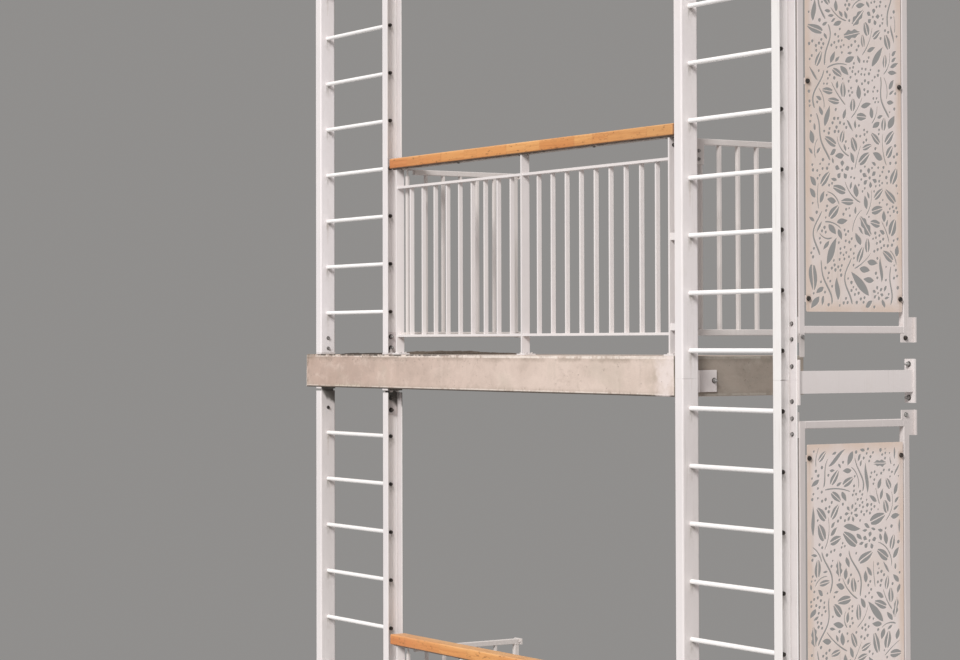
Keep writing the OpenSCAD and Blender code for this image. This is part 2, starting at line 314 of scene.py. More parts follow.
        # painted shade on the lugs at the foot of the screens
        foot = m.math("FLOORED_MODULO", m.math("ADD", m.z, 0.3), STOREY)
        painted_lug_shade = m.mul(m.step(foot, 0.415, 0.385), m.step(m.y, 0.125, 0.105), m.step(m.math("ABSOLUTE", m.nx), 0.4, 0.8))
        c = m.mix(m.mul(painted_lug_shade, m.step(foot, 0.31, 0.39, 0.40, 0.72)), c, (0.40, 0.365, 0.345, 1))
    if painted_bounce_under:
        # painted bounce light: what faces down is painted paler
        c = m.mix(m.step(m.nz, 0.15, -0.45, 0, 0.85), c, (0.990, 0.975, 0.970, 1))
    if painted_light_from is not None:
        # painted light: the hollow side of the right-hand stile is painted whiter
        c = m.mix(m.mul(m.step(m.x, painted_light_from - 0.05, painted_light_from + 0.05), m.step(m.nx, 0.4, 0.8), 0.86), c, (0.975, 0.945, 0.935, 1))
        if painted_light_from < 0:
            # painted light: the upper webs of the left-hand stile that face +x are painted paler
            painted_upper_light = m.mul(m.step(m.x, painted_light_from - 0.30, painted_light_from - 0.36), m.step(m.nx, 0.4, 0.8), m.step(m.z, 5.3, 5.7))
            c = m.mix(m.mul(painted_upper_light, 0.5), c, (0.930, 0.875, 0.895, 1))
    if soffit is not None:
        # painted shadow of the slab under its soffit: deep at the back, thinning to the front and downwards
        if soffit == "each":
            drop = m.math("FLOORED_MODULO", m.math("SUBTRACT", STOREY - 0.2, m.z), STOREY)
        else:
            drop = m.math("SUBTRACT", soffit, m.z)
        ragged = m.math("MULTIPLY_ADD", m.noise(m.scaled(1, 1, 0.6, (5, 5, 2)), scale=34.0, detail=3), 0.030, -0.015)
        off = m.math("ADD", m.y, 0.050)
        reach = m.math("MINIMUM", m.math("MULTIPLY_ADD", off, 1.35, 0.006), m.math("MULTIPLY_ADD", off, 0.62, 0.036))
        lean_s = m.add(m.math("SUBTRACT", drop, reach), ragged)
        painted_slab_shadow = m.mul(m.step(lean_s, 0.020, -0.012), m.step(m.ny, -0.8, -0.3), m.math("GREATER_THAN", drop, -0.002),
                      m.step(m.y, -0.0505, -0.0440))
        c = m.mix(m.mul(painted_slab_shadow, 0.95), c, (0.048, 0.046, 0.042, 1))
        # painted shade fading downwards from the soffit
        painted_soffit_shade = m.mul(m.step(drop, 0.22, 0.02), m.math("GREATER_THAN", drop, -0.002), m.step(m.ny, -0.8, -0.3), m.step(m.y, -0.0505, -0.0440))
        c = m.mix(m.mul(painted_soffit_shade, 0.30), c, (0.20, 0.190, 0.172, 1))
        if soffit != "each":
            # painted shade just under the soffit
            painted_tip_shade = m.mul(m.step(drop, 0.030, 0.016), m.step(m.ny, -0.5, -0.8), m.math("GREATER_THAN", drop, -0.002))
            c = m.mix(m.mul(painted_tip_shade, m.step(ragged, -0.004, 0.004, 0.45, 0.80)), c, (0.15, 0.142, 0.128, 1))
    if rungs is not None:
        z0, top = rungs
        below = m.math("FLOORED_MODULO", m.math("SUBTRACT", z0, m.z), 0.28)
        wob = m.math("SUBTRACT", m.noise(m.scaled(1, 1, 0.4), scale=42.0, detail=2), 0.5)
        yy = m.math("ABSOLUTE", m.math("MULTIPLY_ADD", wob, 0.012, m.y))
        live = m.math("LESS_THAN", m.z, top)
        core = m.mul(m.step(yy, 0.013, 0.004), m.step(below, 0.085, 0.006), live)
        rough_edge = m.step(m.noise(m.scaled(1, 1, 0.3), scale=110.0, detail=3), 0.30, 0.62)
        c = m.mix(m.mul(core, rough_edge, 0.62), c, (0.24, 0.225, 0.185, 1))
        # a smear that runs back and down from the rung's end, partly dirt and partly the rung's painted shadow
        lean = m.math("SUBTRACT", m.math("ADD", m.y, -0.004), m.math("MULTIPLY", below, 0.42))
        smear_and_shadow = m.mul(m.step(m.math("ABSOLUTE", lean), 0.016, 0.003), m.step(below, 0.062, 0.012), m.step(below, 0.004, 0.012),
                      live, m.step(m.noise(scale=75.0, detail=3), 0.26, 0.56, 0.4, 1.0))
        c = m.mix(m.mul(smear_and_shadow, 0.46), c, (0.20, 0.185, 0.165, 1))
        halo = m.mul(m.step(yy, 0.036, 0.008), m.step(below, 0.15, 0.01), live,
                     m.step(m.noise(scale=48.0, detail=3), 0.34, 0.66))
        c = m.mix(m.mul(halo, 0.22), c, (0.42, 0.37, 0.33, 1))
        length = m.noise(m.vec(m.x, 0.0, m.math("ROUND", m.math("DIVIDE", m.math("SUBTRACT", m.z, z0), 0.28))), scale=7.3, detail=0)
        tail = m.mul(m.step(yy, 0.007, 0.002), m.step(below, 0.24, 0.05), live, m.step(length, 0.45, 0.62))
        c = m.mix(m.mul(tail, 0.17), c, (0.38, 0.27, 0.19, 1))
    for h in joint or ():
        near = m.math("SUBTRACT", h, m.z)
        wash = m.mul(m.step(near, 0.16, 0.0), m.math("GREATER_THAN", near, 0.0),
                     m.step(m.noise(m.scaled(1, 1, 0.06), scale=80.0, detail=3), 0.5, 0.72))
        c = m.mix(m.mul(wash, 0.16), c, (0.44, 0.35, 0.28, 1))
        # the joint's own line, with dirt towards the front of the web
        gap_l = m.mul(m.step(m.math("ABSOLUTE", near), 0.0034, 0.0012), m.step(m.y, 0.046, 0.002, 0.15, 1.0),
                      m.step(m.math("ABSOLUTE", m.nx), 0.3, 0.7, 0.20, 1.0), m.step(m.x, 0.2, 0.5, 0.26, 1.0),
                      m.step(m.noise(m.scaled(1, 1, 0.5, (2, 5, 9)), scale=70.0, detail=3), 0.25, 0.55, 0.45, 1.0))
        c = m.mix(m.mul(gap_l, 0.80), c, (0.185, 0.160, 0.150, 1))
    # rust freckles and small chips down to zinc
    cell = m.voronoi(scale=210.0, rand=1.0)
    where = m.noise(scale=5.2, detail=3, rough=0.6)
    freckle = m.mul(m.step(cell, 0.26, 0.12), m.step(where, 0.64, 0.74))
    edge = m.mul(m.step(cell, 0.42, 0.20), m.step(shade, 0.62, 0.30), m.step(where, 0.50, 0.62))
    c = m.mix(m.mul(m.add(freckle, m.mul(edge, 0.6)), 0.75 * rust), c, RUST)
    chip_n = m.noise(m.scaled(1, 1, 1, (5, 5, 5)), scale=150.0, detail=4, rough=0.7)
    chip = m.mul(m.step(chip_n, 0.72, 0.76), m.step(m.noise(m.scaled(1, 1, 1, (2, 8, 1)), scale=7.0, detail=2), 0.60, 0.70))
    c = m.mix(m.mul(chip, 0.8), c, (0.34, 0.335, 0.33, 1))
    # finish
    peel = m.noise(scale=900.0, detail=2, rough=0.5)
    wave = m.noise(scale=38.0, detail=2)
    n = m.bump(peel, 0.00022, 0.55)
    n = m.bump(wave, 0.0011, 0.35, n)
    n = m.bump(m.math("SUBTRACT", 1.0, m.add(chip, freckle), clamp=True), 0.00035, 0.7, n)
    rough = m.add(m.step(patch, 0.3, 0.75, 0.36, 0.50), m.mul(up, 0.10), m.mul(corner, 0.18))
    return m.finish(c, rough, n, 0.0)


PAINT = paint("paint_railing", (0.805, 0.755, 0.745, 1.0), saddle=True)
# the side railings take a darker copy of the paint as painted shade
PAINT_SIDE_SHADED = paint("paint_side_railing_shaded", (0.700, 0.655, 0.635, 1.0), streaks=1.3, dusty=0.08)
# the screen frames carry painted shade on their foot lugs
PAINT_SCREEN = paint("paint_screen_frames", (0.695, 0.638, 0.628, 1.0), streaks=1.2, dusty=0.15, tongue=True)
PAINT_FLAT = paint("paint_plates", (0.745, 0.690, 0.682, 1.0), rust=1.3)
# the cleats take the slab's painted shadow under every slab
PAINT_CLEAT = paint("paint_cleats", (0.745, 0.690, 0.682, 1.0), rust=1.3, soffit="each")
# the right stiles take painted light on the hollow side of the outer stile
PAINT_RIGHT = paint("paint_right_stiles", rungs=(0.226, 9.20), joint=[LEV[i] - 0.11 for i in (1, 2, 3)], fresh=0.4, painted_light_from=0.4)
# the rungs take a paler copy of the paint with paler undersides, as painted light
PAINT_RUNG_LIT = paint("paint_rungs_lit", (0.965, 0.942, 0.935, 1.0), streaks=0.3, dusty=0.32, painted_bounce_under=True)
LEFT_FIRST = {1: 0.322, 2: LEV[1] + 0.322, 3: LEV[2] + 0.25, 4: LEV[3] + 0.25}
LEFT_N = {1: 8, 2: 8, 3: 8, 4: 4}
# the left stiles take the slab's painted shadow under each slab and painted light on some webs that face +x
PAINT_LEFT = {s: paint(f"paint_left_stiles_{s}", rungs=(LEFT_FIRST[s], LEFT_FIRST[s] + 0.28 * (LEFT_N[s] - 1) + 0.012),
                       soffit=LEV[s] - 0.2 if s < 4 else None, painted_light_from=-3.2)
              for s in (1, 2, 3, 4)}


def concrete():
    """Board-smooth cast concrete, weathered: cloudy tone, water runs from the top edge, pores,
    hairline cracks, a paler mended end, brown stains at the far end and dark soffit bands."""
    m = Mat("concrete_weathered")
    # the far left end is darker and browner, the right end paler
    along = m.step(m.math("MULTIPLY_ADD", m.noise(m.scaled(1, 1, 1, (5, 0, 5)), scale=1.3, detail=2), 0.9, m.x), -3.6, 0.1)
    base = m.mix(along, (0.540, 0.400, 0.336, 1), (0.715, 0.590, 0.522, 1))
    deep = m.mix(along, (0.450, 0.338, 0.285, 1), (0.630, 0.514, 0.448, 1))
    cloud = m.noise(scale=3.4, detail=6, rough=0.62, distort=0.4)
    fine = m.noise(scale=15.0, detail=6, rough=0.70, distort=0.2)
    grit = m.noise(scale=230.0, detail=3, rough=0.7)
    c = m.mix(m.step(cloud, 0.36, 0.64), base, deep)
    blot = m.noise(m.scaled(1, 1, 1.5, (2, 6, 3)), scale=7.5, detail=6, rough=0.7, distort=0.5)
    c = m.mix(m.step(blot, 0.50, 0.70, 0, 0.46), c, (0.745, 0.615, 0.540, 1))
    c = m.mix(m.step(blot, 0.46, 0.28, 0, 0.34), c, (0.375, 0.292, 0.240, 1))
    c = m.mix(m.step(fine, 0.52, 0.80, 0, 0.34), c, (0.72, 0.585, 0.51, 1))
    c = m.mix(m.step(fine, 0.46, 0.24, 0, 0.34), c, (0.400, 0.320, 0.265, 1))
    c = m.mix(m.step(grit, 0.42, 0.72, 0, 0.14), c, (0.32, 0.27, 0.23, 1))
    # grey-green cast in wide soft patches
    moss = m.noise(m.scaled(1, 1, 1.4, (11, 3, 4)), scale=2.6, detail=5, rough=0.6, distort=0.6)
    c = m.mix(m.step(moss, 0.50, 0.68, 0, 0.30), c, (0.495, 0.435, 0.360, 1))
    upright = m.step(m.math("ABSOLUTE", m.nz), 0.6, 0.2)
    # height above the soffit of the slab that the point is in: 0 to 0.2
    rel = m.math("FLOORED_MODULO", m.math("SUBTRACT", m.z, STOREY - 0.2), STOREY)
    # water runs from the top edge, few and soft, and darker drips towards the soffit
    run = m.noise(m.scaled(1, 1, 0.10), scale=17.0, detail=6, rough=0.68, distort=0.3)
    c = m.mix(m.mul(m.step(run, 0.56, 0.74), m.step(rel, 0.02, 0.20, 0.25, 1.0), upright, 0.30), c, (0.31, 0.255, 0.205, 1))
    pale = m.noise(m.scaled(1, 1, 0.16, (7, 2, 3)), scale=9.0, detail=5, rough=0.66, distort=0.4)
    c = m.mix(m.mul(m.step(pale, 0.56, 0.76), upright, 0.28), c, (0.74, 0.62, 0.55, 1))
    # damp band under the top edge, worn pale arrises
    wob = m.math("MULTIPLY_ADD", m.noise(scale=11.0, detail=5, rough=0.65), 0.050, -0.025)
    relw = m.add(rel, wob)
    band = m.mul(m.step(relw, 0.158, 0.180), m.step(relw, 0.198, 0.186), upright,
                 m.step(m.noise(m.scaled(1, 1, 1, (9, 1, 1)), scale=4.2, detail=3), 0.36, 0.58))
    c = m.mix(m.mul(band, 0.50), c, (0.31, 0.245, 0.195, 1))
    low = m.mul(m.step(relw, 0.036, 0.012), upright)
    c = m.mix(m.mul(low, 0.30), c, (0.40, 0.325, 0.265, 1))
    drip = m.noise(m.scaled(1, 1, 0.12, (3, 3, 3)), scale=58.0, detail=3)
    where_d = m.noise(m.scaled(1, 0.2, 0.2, (4, 0, 8)), scale=1.9, detail=2)
    c = m.mix(m.mul(m.step(drip, 0.55, 0.70), m.step(rel, 0.034, 0.004), upright, m.step(where_d, 0.44, 0.60, 0.35, 1.0), 0.70),
              c, (0.155, 0.130, 0.085, 1))
    arris_w = m.math("MULTIPLY_ADD", m.noise(scale=38.0, detail=4, rough=0.7), 0.010, -0.005)
    rela = m.add(rel, arris_w)
    arris = m.math("MAXIMUM", m.step(rela, 0.1825, 0.1870), m.step(rela, 0.0165, 0.0115, 0, 0.8))
    arris = m.mul(arris, upright, m.step(m.noise(m.scaled(1, 1, 0.2, (1, 6, 2)), scale=14.0, detail=5, rough=0.7), 0.36, 0.54))
    c = m.mix(m.mul(arris, m.step(along, 0.1, 0.6, 0.58, 0.80)), c, (0.860, 0.775, 0.705, 1))
    # dark dots and short dashes of dirt on and under the worn top edge, more of them to the left
    dots = m.noise(m.scaled(1, 1, 1.6, (6, 2, 5)), scale=46.0, detail=4, rough=0.7)
    dots = m.mul(m.step(dots, 0.56, 0.66), upright, m.step(rel, 0.148, 0.172), m.step(along, 0.85, 0.15, 0.35, 1.0))
    c = m.mix(m.mul(dots, 0.62), c, (0.195, 0.150, 0.115, 1))
    lip = m.mul(m.step(rel, 0.1905, 0.1935), m.step(m.noise(m.scaled(1, 0.3, 0.3, (8, 2, 2)), scale=9.0, detail=4, rough=0.7), 0.40, 0.52),
                m.step(along, 0.80, 0.30, 0.16, 1.0))
    c = m.mix(m.mul(lip, 0.92), c, (0.045, 0.034, 0.026, 1))
    # moss with pale tips hangs on the bottom edge between the left ladder's stiles
    tuft = m.noise(m.scaled(1, 1, 0.6, (2, 9, 4)), scale=85.0, detail=4, rough=0.7)
    mossy = m.mul(m.step(m.x, -3.47, -3.41), m.step(m.x, -3.10, -3.16), upright)
    c = m.mix(m.mul(mossy, m.step(rel, 0.030, 0.012), m.step(tuft, 0.48, 0.58), 0.55), c, (0.640, 0.590, 0.455, 1))
    c = m.mix(m.mul(mossy, m.step(rel, 0.022, 0.008), m.step(tuft, 0.46, 0.36), 0.85), c, (0.130, 0.118, 0.045, 1))
    # painted shade: a dark line along the lowest millimetres of the front face
    painted_sill_shade = m.mul(m.step(rel, 0.0100, 0.0066), m.step(m.ny, -0.1, -0.3))
    c = m.mix(m.mul(painted_sill_shade, 0.92), c, (0.062, 0.048, 0.038, 1))
    # mended right end of the front face: paler, pinkish, with a soft broken outline
    front = m.step(m.ny, -0.6, -0.9)
    bend = m.math("MULTIPLY_ADD", m.noise(m.scaled(1, 1, 1, (4, 4, 4)), scale=16.0, detail=4), 0.10, -0.05)
    mend = m.mul(m.step(m.add(m.x, bend), -0.200, -0.150), front)
    mend_v = m.step(m.noise(m.scaled(1, 1, 1, (2, 7, 1)), scale=13.0, detail=5, rough=0.65), 0.34, 0.64, 0.26, 0.80)
    c = m.mix(m.mul(mend, mend_v), c, (0.800, 0.705, 0.680, 1))
    rim = m.mul(m.step(m.add(m.x, bend), -0.33, -0.205), m.step(m.add(m.x, bend), -0.165, -0.205), front,
                m.step(m.noise(m.scaled(1, 1, 1, (1, 9, 4)), scale=30.0, detail=3), 0.36, 0.6))
    c = m.mix(m.mul(rim, 0.32), c, (0.43, 0.36, 0.295, 1))
    # brown stains at the left end, worst at its top corner
    left = m.mul(m.step(m.x, -3.30, -3.78), m.step(m.noise(m.scaled(1, 1, 0.5, (3, 3, 8)), scale=8.0, detail=5), 0.44, 0.66))
    c = m.mix(m.mul(left, 0.50), c, (0.33, 0.235, 0.175, 1))
    corner_d = m.add(m.math("MULTIPLY", m.math("SUBTRACT", m.x, -3.803), 0.55), m.math("SUBTRACT", 0.2, rel))
    corner_s = m.mul(m.step(m.math("MULTIPLY_ADD", m.noise(m.scaled(1, 1, 1, (7, 7, 7)), scale=26.0, detail=4), 0.08, corner_d), 0.125, 0.055), upright)
    c = m.mix(m.mul(corner_s, 0.50), c, (0.205, 0.155, 0.115, 1))
    # a broken row of dark spots beside the left end's upright arris
    spots = m.noise(m.scaled(1, 1, 0.8, (1, 1, 9)), scale=52.0, detail=3, rough=0.7)
    spots = m.mul(m.step(spots, 0.50, 0.60), m.step(m.x, -3.760, -3.780), m.step(m.x, -3.799, -3.792), upright)
    c = m.mix(m.mul(spots, 0.55), c, (0.170, 0.135, 0.105, 1))
    worn = m.mul(m.step(m.x, -3.790, -3.799), m.step(m.noise(m.scaled(1, 1, 0.5, (3, 3, 1)), scale=20.0, detail=4), 0.36, 0.52))
    c = m.mix(m.mul(worn, upright, 0.75), c, (0.80, 0.72, 0.65, 1))
    # end faces are darker and greyer
    ends = m.step(m.math("ABSOLUTE", m.nx), 0.6, 0.9)
    c = m.mix(m.mul(ends, 0.70), c, (0.29, 0.288, 0.258, 1), "MULTIPLY")
    c = m.mix(m.mul(ends, 0.30), c, (0.31, 0.290, 0.255, 1))
    ev = m.noise(m.scaled(1, 1, 1.2, (9, 5, 7)), scale=7.0, detail=6, rough=0.68, distort=0.5)
    c = m.mix(m.mul(ends, m.step(ev, 0.50, 0.68), 0.34), c, (0.215, 0.200, 0.170, 1))
    c = m.mix(m.mul(ends, m.step(ev, 0.46, 0.30), 0.26), c, (0.42, 0.385, 0.335, 1))
    # top: trodden, greyer, with dirt towards the wall; soffit: dark bands and lime bloom
    top = m.step(m.nz, 0.6, 0.9)
    c = m.mix(m.mul(top, 0.35), c, (0.48, 0.43, 0.385, 1))
    c = m.mix(m.mul(top, m.step(m.y, 0.45, 0.77), m.step(fine, 0.35, 0.62), 0.45), c, (0.24, 0.21, 0.175, 1))
    puddle = m.noise(m.scaled(0.6, 1.6, 1, (8, 1, 1)), scale=3.6, detail=4)
    c = m.mix(m.mul(top, m.step(puddle, 0.55, 0.62), 0.22), c, (0.33, 0.295, 0.255, 1))
    # leaf dirt and lichen lie thick behind the left ladder
    heap = m.noise(m.scaled(1, 1, 1, (3, 9, 3)), scale=6.5, detail=6, rough=0.72)
    c = m.mix(m.mul(top, m.step(m.x, -2.75, -3.05, 0.18, 1.0), m.step(heap, 0.42, 0.56), 0.72), c, (0.115, 0.092, 0.070, 1))
    under = m.step(m.nz, -0.6, -0.9)
    board = m.math("FRACT", m.math("MULTIPLY", m.x, 1 / 0.62))
    seam = m.math("MAXIMUM", m.step(board, 0.010, 0.002), m.step(board, 0.990, 0.998))
    c = m.mix(m.mul(under, seam, 0.35), c, (0.26, 0.22, 0.19, 1))
    bloom = m.noise(m.scaled(1, 1, 1, (6, 6, 1)), scale=5.5, detail=6, rough=0.7)
    c = m.mix(m.mul(under, m.step(bloom, 0.60, 0.74), 0.5), c, (0.74, 0.70, 0.66, 1))
    # hairline cracks and pores
    warp = m.t.nodes.new("ShaderNodeVectorMath")
    warp.operation = "ADD"
    wn = m.t.nodes.new("ShaderNodeTexNoise")
    wn.inputs["Scale"].default_value = 9.0
    wn.inputs["Detail"].default_value = 4.0
    m.t.links.new(m.co, wn.inputs["Vector"])
    ws = m.t.nodes.new("ShaderNodeVectorMath")
    ws.operation = "SCALE"
    ws.inputs["Scale"].default_value = 0.16
    m.t.links.new(wn.outputs["Color"], ws.inputs[0])
    m.t.links.new(m.co, warp.inputs[0])
    m.t.links.new(ws.outputs[0], warp.inputs[1])
    crack = m.voronoi(warp.outputs[0], 1.35, "DISTANCE_TO_EDGE")
    crack = m.mul(m.step(crack, 0.0032, 0.0008), m.step(m.noise(m.scaled(1, 1, 1, (2, 2, 2)), scale=2.2, detail=2), 0.50, 0.60))
    crack = m.mul(crack, m.math("SUBTRACT", 1.0, m.mul(upright, 0.86)))
    c = m.mix(m.mul(crack, 0.62), c, (0.17, 0.135, 0.11, 1))
    pore_cell = m.voronoi(scale=58.0)
    pore_on = m.step(m.noise(m.scaled(1, 1, 1, (9, 9, 9)), scale=21.0, detail=2), 0.52, 0.64)
    pore = m.mul(m.step(pore_cell, 0.20, 0.10), pore_on)
    c = m.mix(m.mul(pore, 0.62), c, (0.16, 0.13, 0.105, 1))
    # painted shade where the AO finds nearby surfaces
    shade = m.ao(0.10, 5)
    c = m.mix(m.mul(m.step(shade, 0.78, 0.35), 0.35), c, (0.24, 0.205, 0.17, 1))
    n = m.bump(grit, 0.0006, 0.55)
    n = m.bump(fine, 0.0035, 0.35, n)
    n = m.bump(m.math("SUBTRACT", 1.0, m.add(pore, crack), clamp=True), 0.0022, 0.85, n)
    return m.finish(c, m.step(fine, 0.3, 0.7, 0.80, 0.94), n, 0.0)


def timber():
    """Oiled hardwood, finger-jointed from strips of varying tone."""
    m = Mat("timber_oiled")
    strip = m.math("FLOOR", m.math("MULTIPLY", m.add(m.y, 0.05), 1 / 0.0335))
    rel = m.math("FLOORED_MODULO", m.math("SUBTRACT", m.z, 1.079), STOREY)       # 0 to 0.06
    storey = m.math("FLOOR", m.math("MULTIPLY", m.math("SUBTRACT", m.z, 1.07), 1 / STOREY))
    shift = m.white(m.vec(strip, storey, 3.0))
    zig = m.math("MULTIPLY", m.math("PINGPONG", m.math("MULTIPLY_ADD", rel, 1.0, m.math("MULTIPLY", m.y, 0.0)), 0.0036), 2.7)
    zig2 = m.math("MULTIPLY", m.math("PINGPONG", m.add(m.y, 0.05), 0.0036), 0.0)
    run = m.math("DIVIDE", m.add(m.x, zig, zig2), 0.21)
    run = m.add(run, m.mul(shift, 5.0))
    wide = m.math("MULTIPLY", m.math("SINE", m.math("MULTIPLY", run, 2.2)), 0.30)
    run = m.add(run, wide)
    block = m.math("FLOOR", run)
    part = m.math("FRACT", run)
    tone = m.white(m.vec(block, strip, m.add(storey, 0.37)))
    tone2 = m.white(m.vec(m.add(block, 17.0), strip, storey))
    c = m.mix(m.step(tone, 0.0, 1.0, 0.10, 0.82), (0.672, 0.270, 0.084, 1), (0.790, 0.405, 0.146, 1))
    c = m.mix(m.step(tone2, 0.72, 1.0, 0, 0.34), c, (0.520, 0.180, 0.052, 1))
    drift = m.noise(m.vec(m.mul(m.x, 1.4), m.mul(m.y, 8.0), m.mul(m.z, 8.0)), scale=1.0, detail=3)
    c = m.mix(m.step(drift, 0.42, 0.66, 0, 0.38), c, (0.735, 0.385, 0.140, 1))
    # redder to the left, browner to the right
    c = m.mix(m.step(m.x, -2.1, -2.8, 0, 0.72), c, (0.605, 0.208, 0.078, 1))
    # the front face is paler towards its top as painted highlight and darker towards its bottom as painted shade
    c = m.mix(m.step(rel, 0.034, 0.058, 0, 0.30), c, (0.800, 0.450, 0.185, 1))
    c = m.mix(m.step(rel, 0.020, 0.002, 0, 0.26), c, (0.520, 0.195, 0.065, 1))
    c = m.mix(m.step(m.x, -1.2, 0.0, 0, 0.40), c, (0.520, 0.275, 0.120, 1))
    # grain runs along the rail and starts afresh in each block
    gx = m.add(m.mul(m.x, 2.2), m.mul(tone, 37.0))
    gy = m.add(m.mul(m.y, 62.0), m.mul(tone2, 11.0))
    gz = m.mul(m.z, 62.0)
    grain = m.noise(m.vec(gx, gy, gz), scale=1.0, detail=6, rough=0.66, distort=0.55)
    c = m.mix(m.step(grain, 0.44, 0.70, 0, 0.50), c, (0.430, 0.150, 0.044, 1))
    c = m.mix(m.step(grain, 0.45, 0.25, 0, 0.40), c, (0.780, 0.450, 0.190, 1))
    fibre = m.noise(m.vec(m.mul(m.x, 26.0), m.mul(m.y, 900.0), m.mul(m.z, 900.0)), scale=1.0, detail=3, rough=0.6)
    c = m.mix(m.step(fibre, 0.56, 0.78, 0, 0.35), c, (0.250, 0.084, 0.026, 1))
    fleck = m.noise(m.vec(m.mul(m.x, 30.0), m.mul(m.y, 75.0), m.mul(m.z, 75.0)), scale=1.0, detail=3, rough=0.6)
    c = m.mix(m.step(fleck, 0.60, 0.71, 0, 0.62), c, (0.190, 0.070, 0.024, 1))
    # glue lines of blocks and strips
    joint = m.math("MAXIMUM", m.step(part, 0.0065, 0.0015), m.step(part, 0.9935, 0.9985))
    fr = m.math("FRACT", m.math("MULTIPLY", m.add(m.y, 0.05), 1 / 0.0335))
    glue = m.math("MAXIMUM", m.step(fr, 0.022, 0.006), m.step(fr, 0.978, 0.994))
    glue = m.mul(glue, m.step(m.math("ABSOLUTE", m.nz), 0.5, 0.8))
    c = m.mix(m.mul(m.math("MAXIMUM", joint, glue), 0.36), c, (0.235, 0.085, 0.030, 1))
    # sun-bleached top with a painted highlight, painted shade on the underside and bottom edge, end grain
    up = m.step(m.nz, 0.20, 0.75)
    c = m.mix(m.mul(up, m.step(m.noise(m.scaled(0.4, 3, 3), scale=8.0, detail=4), 0.32, 0.66, 0.14, 0.46)), c, (0.74, 0.48, 0.25, 1))
    low = m.math("MAXIMUM", m.step(m.nz, -0.40, -0.80), m.step(rel, 0.0045, 0.001, 0, 0.40))
    c = m.mix(m.mul(low, 0.88), c, (0.105, 0.052, 0.026, 1))
    stain = m.noise(m.scaled(0.8, 1, 1, (5, 2, 2)), scale=11.0, detail=5, rough=0.65)
    c = m.mix(m.step(stain, 0.60, 0.80, 0, 0.36), c, (0.26, 0.115, 0.050, 1))
    end = m.step(m.math("ABSOLUTE", m.nx), 0.5, 0.85)
    ring_d = m.noise(m.scaled(1, 1, 1, (0.3, 0, 0)), scale=24.0, detail=2, distort=0.6)
    rings = m.math("FRACT", m.math("MULTIPLY", ring_d, 13.0))
    c = m.mix(m.mul(end, 0.72), c, (0.330, 0.150, 0.066, 1))
    c = m.mix(m.mul(end, m.step(rings, 0.60, 0.95), 0.55), c, (0.165, 0.066, 0.030, 1))
    # painted shade where the AO finds nearby parts
    shade = m.ao(0.03, 4)
    c = m.mix(m.mul(m.step(shade, 0.75, 0.3), 0.35), c, (0.12, 0.055, 0.026, 1))
    n = m.bump(grain, 0.0009, 0.5)
    n = m.bump(fibre, 0.0003, 0.6, n)
    n = m.bump(m.math("SUBTRACT", 1.0, m.math("MAXIMUM", joint, glue), clamp=True), 0.0006, 0.6, n)
    return m.finish(c, m.step(grain, 0.3, 0.7, 0.42, 0.56), n, 0.0)


def cut_sheet(i):
    """Powder-coated sheet, slightly yellowed, with rust runs under its six bolts."""
    m = Mat(f"cut_sheet_{i}")
    base = (0.785, 0.700, 0.680, 1)
    drift = m.noise(scale=1.9, detail=3)
    patch = m.noise(m.scaled(1, 1, 0.5), scale=8.0, detail=4, rough=0.6)
    c = m.mix(m.step(drift, 0.38, 0.62), base, (0.750, 0.645, 0.595, 1))
    c = m.mix(m.step(patch, 0.5, 0.8, 0, 0.42), c, (0.670, 0.585, 0.540, 1))
    # the margins have yellowed and hold more dust
    rim = m.math("MAXIMUM", m.step(m.math("ABSOLUTE", m.math("SUBTRACT", m.y, 0.3985)), 0.245, 0.285),
                 m.step(m.math("ABSOLUTE", m.math("SUBTRACT", m.z, LEV[i - 1] + 1.2795)), 1.00, 1.07))
    c = m.mix(m.mul(rim, m.step(patch, 0.3, 0.6, 0.45, 0.85)), c, (0.715, 0.565, 0.475, 1))
    run = m.noise(m.scaled(1, 1, 0.03), scale=70.0, detail=4, rough=0.6)
    fade = m.noise(m.scaled(1, 1, 0.4, (2, 5, 1)), scale=4.0, detail=2)
    c = m.mix(m.mul(m.step(run, 0.55, 0.76), m.step(fade, 0.40, 0.66), 0.34), c, (0.40, 0.345, 0.29, 1))
    below = m.math("FLOORED_MODULO", m.math("SUBTRACT", LEV[i - 1] + 2.2885, m.z), 1.01)
    side = m.math("ABSOLUTE", m.math("SUBTRACT", m.math("ABSOLUTE", m.math("SUBTRACT", m.y, 0.398)), 0.282))
    wob = m.math("MULTIPLY_ADD", m.noise(m.scaled(1, 1, 0.3), scale=60.0, detail=2), 0.012, -0.006)
    side = m.math("ABSOLUTE", m.add(side, wob))
    drip = m.mul(m.step(side, 0.010, 0.002), m.step(below, 0.17, 0.01))
    c = m.mix(m.mul(drip, 0.20), c, (0.36, 0.26, 0.19, 1))
    ring = m.mul(m.step(side, 0.024, 0.012), m.math("MAXIMUM", m.step(below, 0.030, 0.010), m.step(below, 0.985, 1.0)))
    c = m.mix(m.mul(ring, 0.30), c, (0.36, 0.26, 0.19, 1))
    # raw cut edges show a thin coat
    edge = m.step(m.math("ABSOLUTE", m.nx), 0.7, 0.4)
    c = m.mix(m.mul(edge, 0.42), c, (0.50, 0.43, 0.37, 1))
    cell = m.voronoi(scale=240.0)
    freckle = m.mul(m.step(cell, 0.26, 0.12), m.step(m.noise(scale=6.0, detail=3), 0.62, 0.72))
    c = m.mix(m.mul(freckle, 0.65), c, RUST)
    peel = m.noise(scale=1100.0, detail=2)
    n = m.bump(peel, 0.0002, 0.5)
    n = m.bump(m.noise(scale=7.0, detail=2), 0.004, 0.30, n)
    return m.finish(c, m.step(patch, 0.3, 0.75, 0.40, 0.52), n, 0.0)


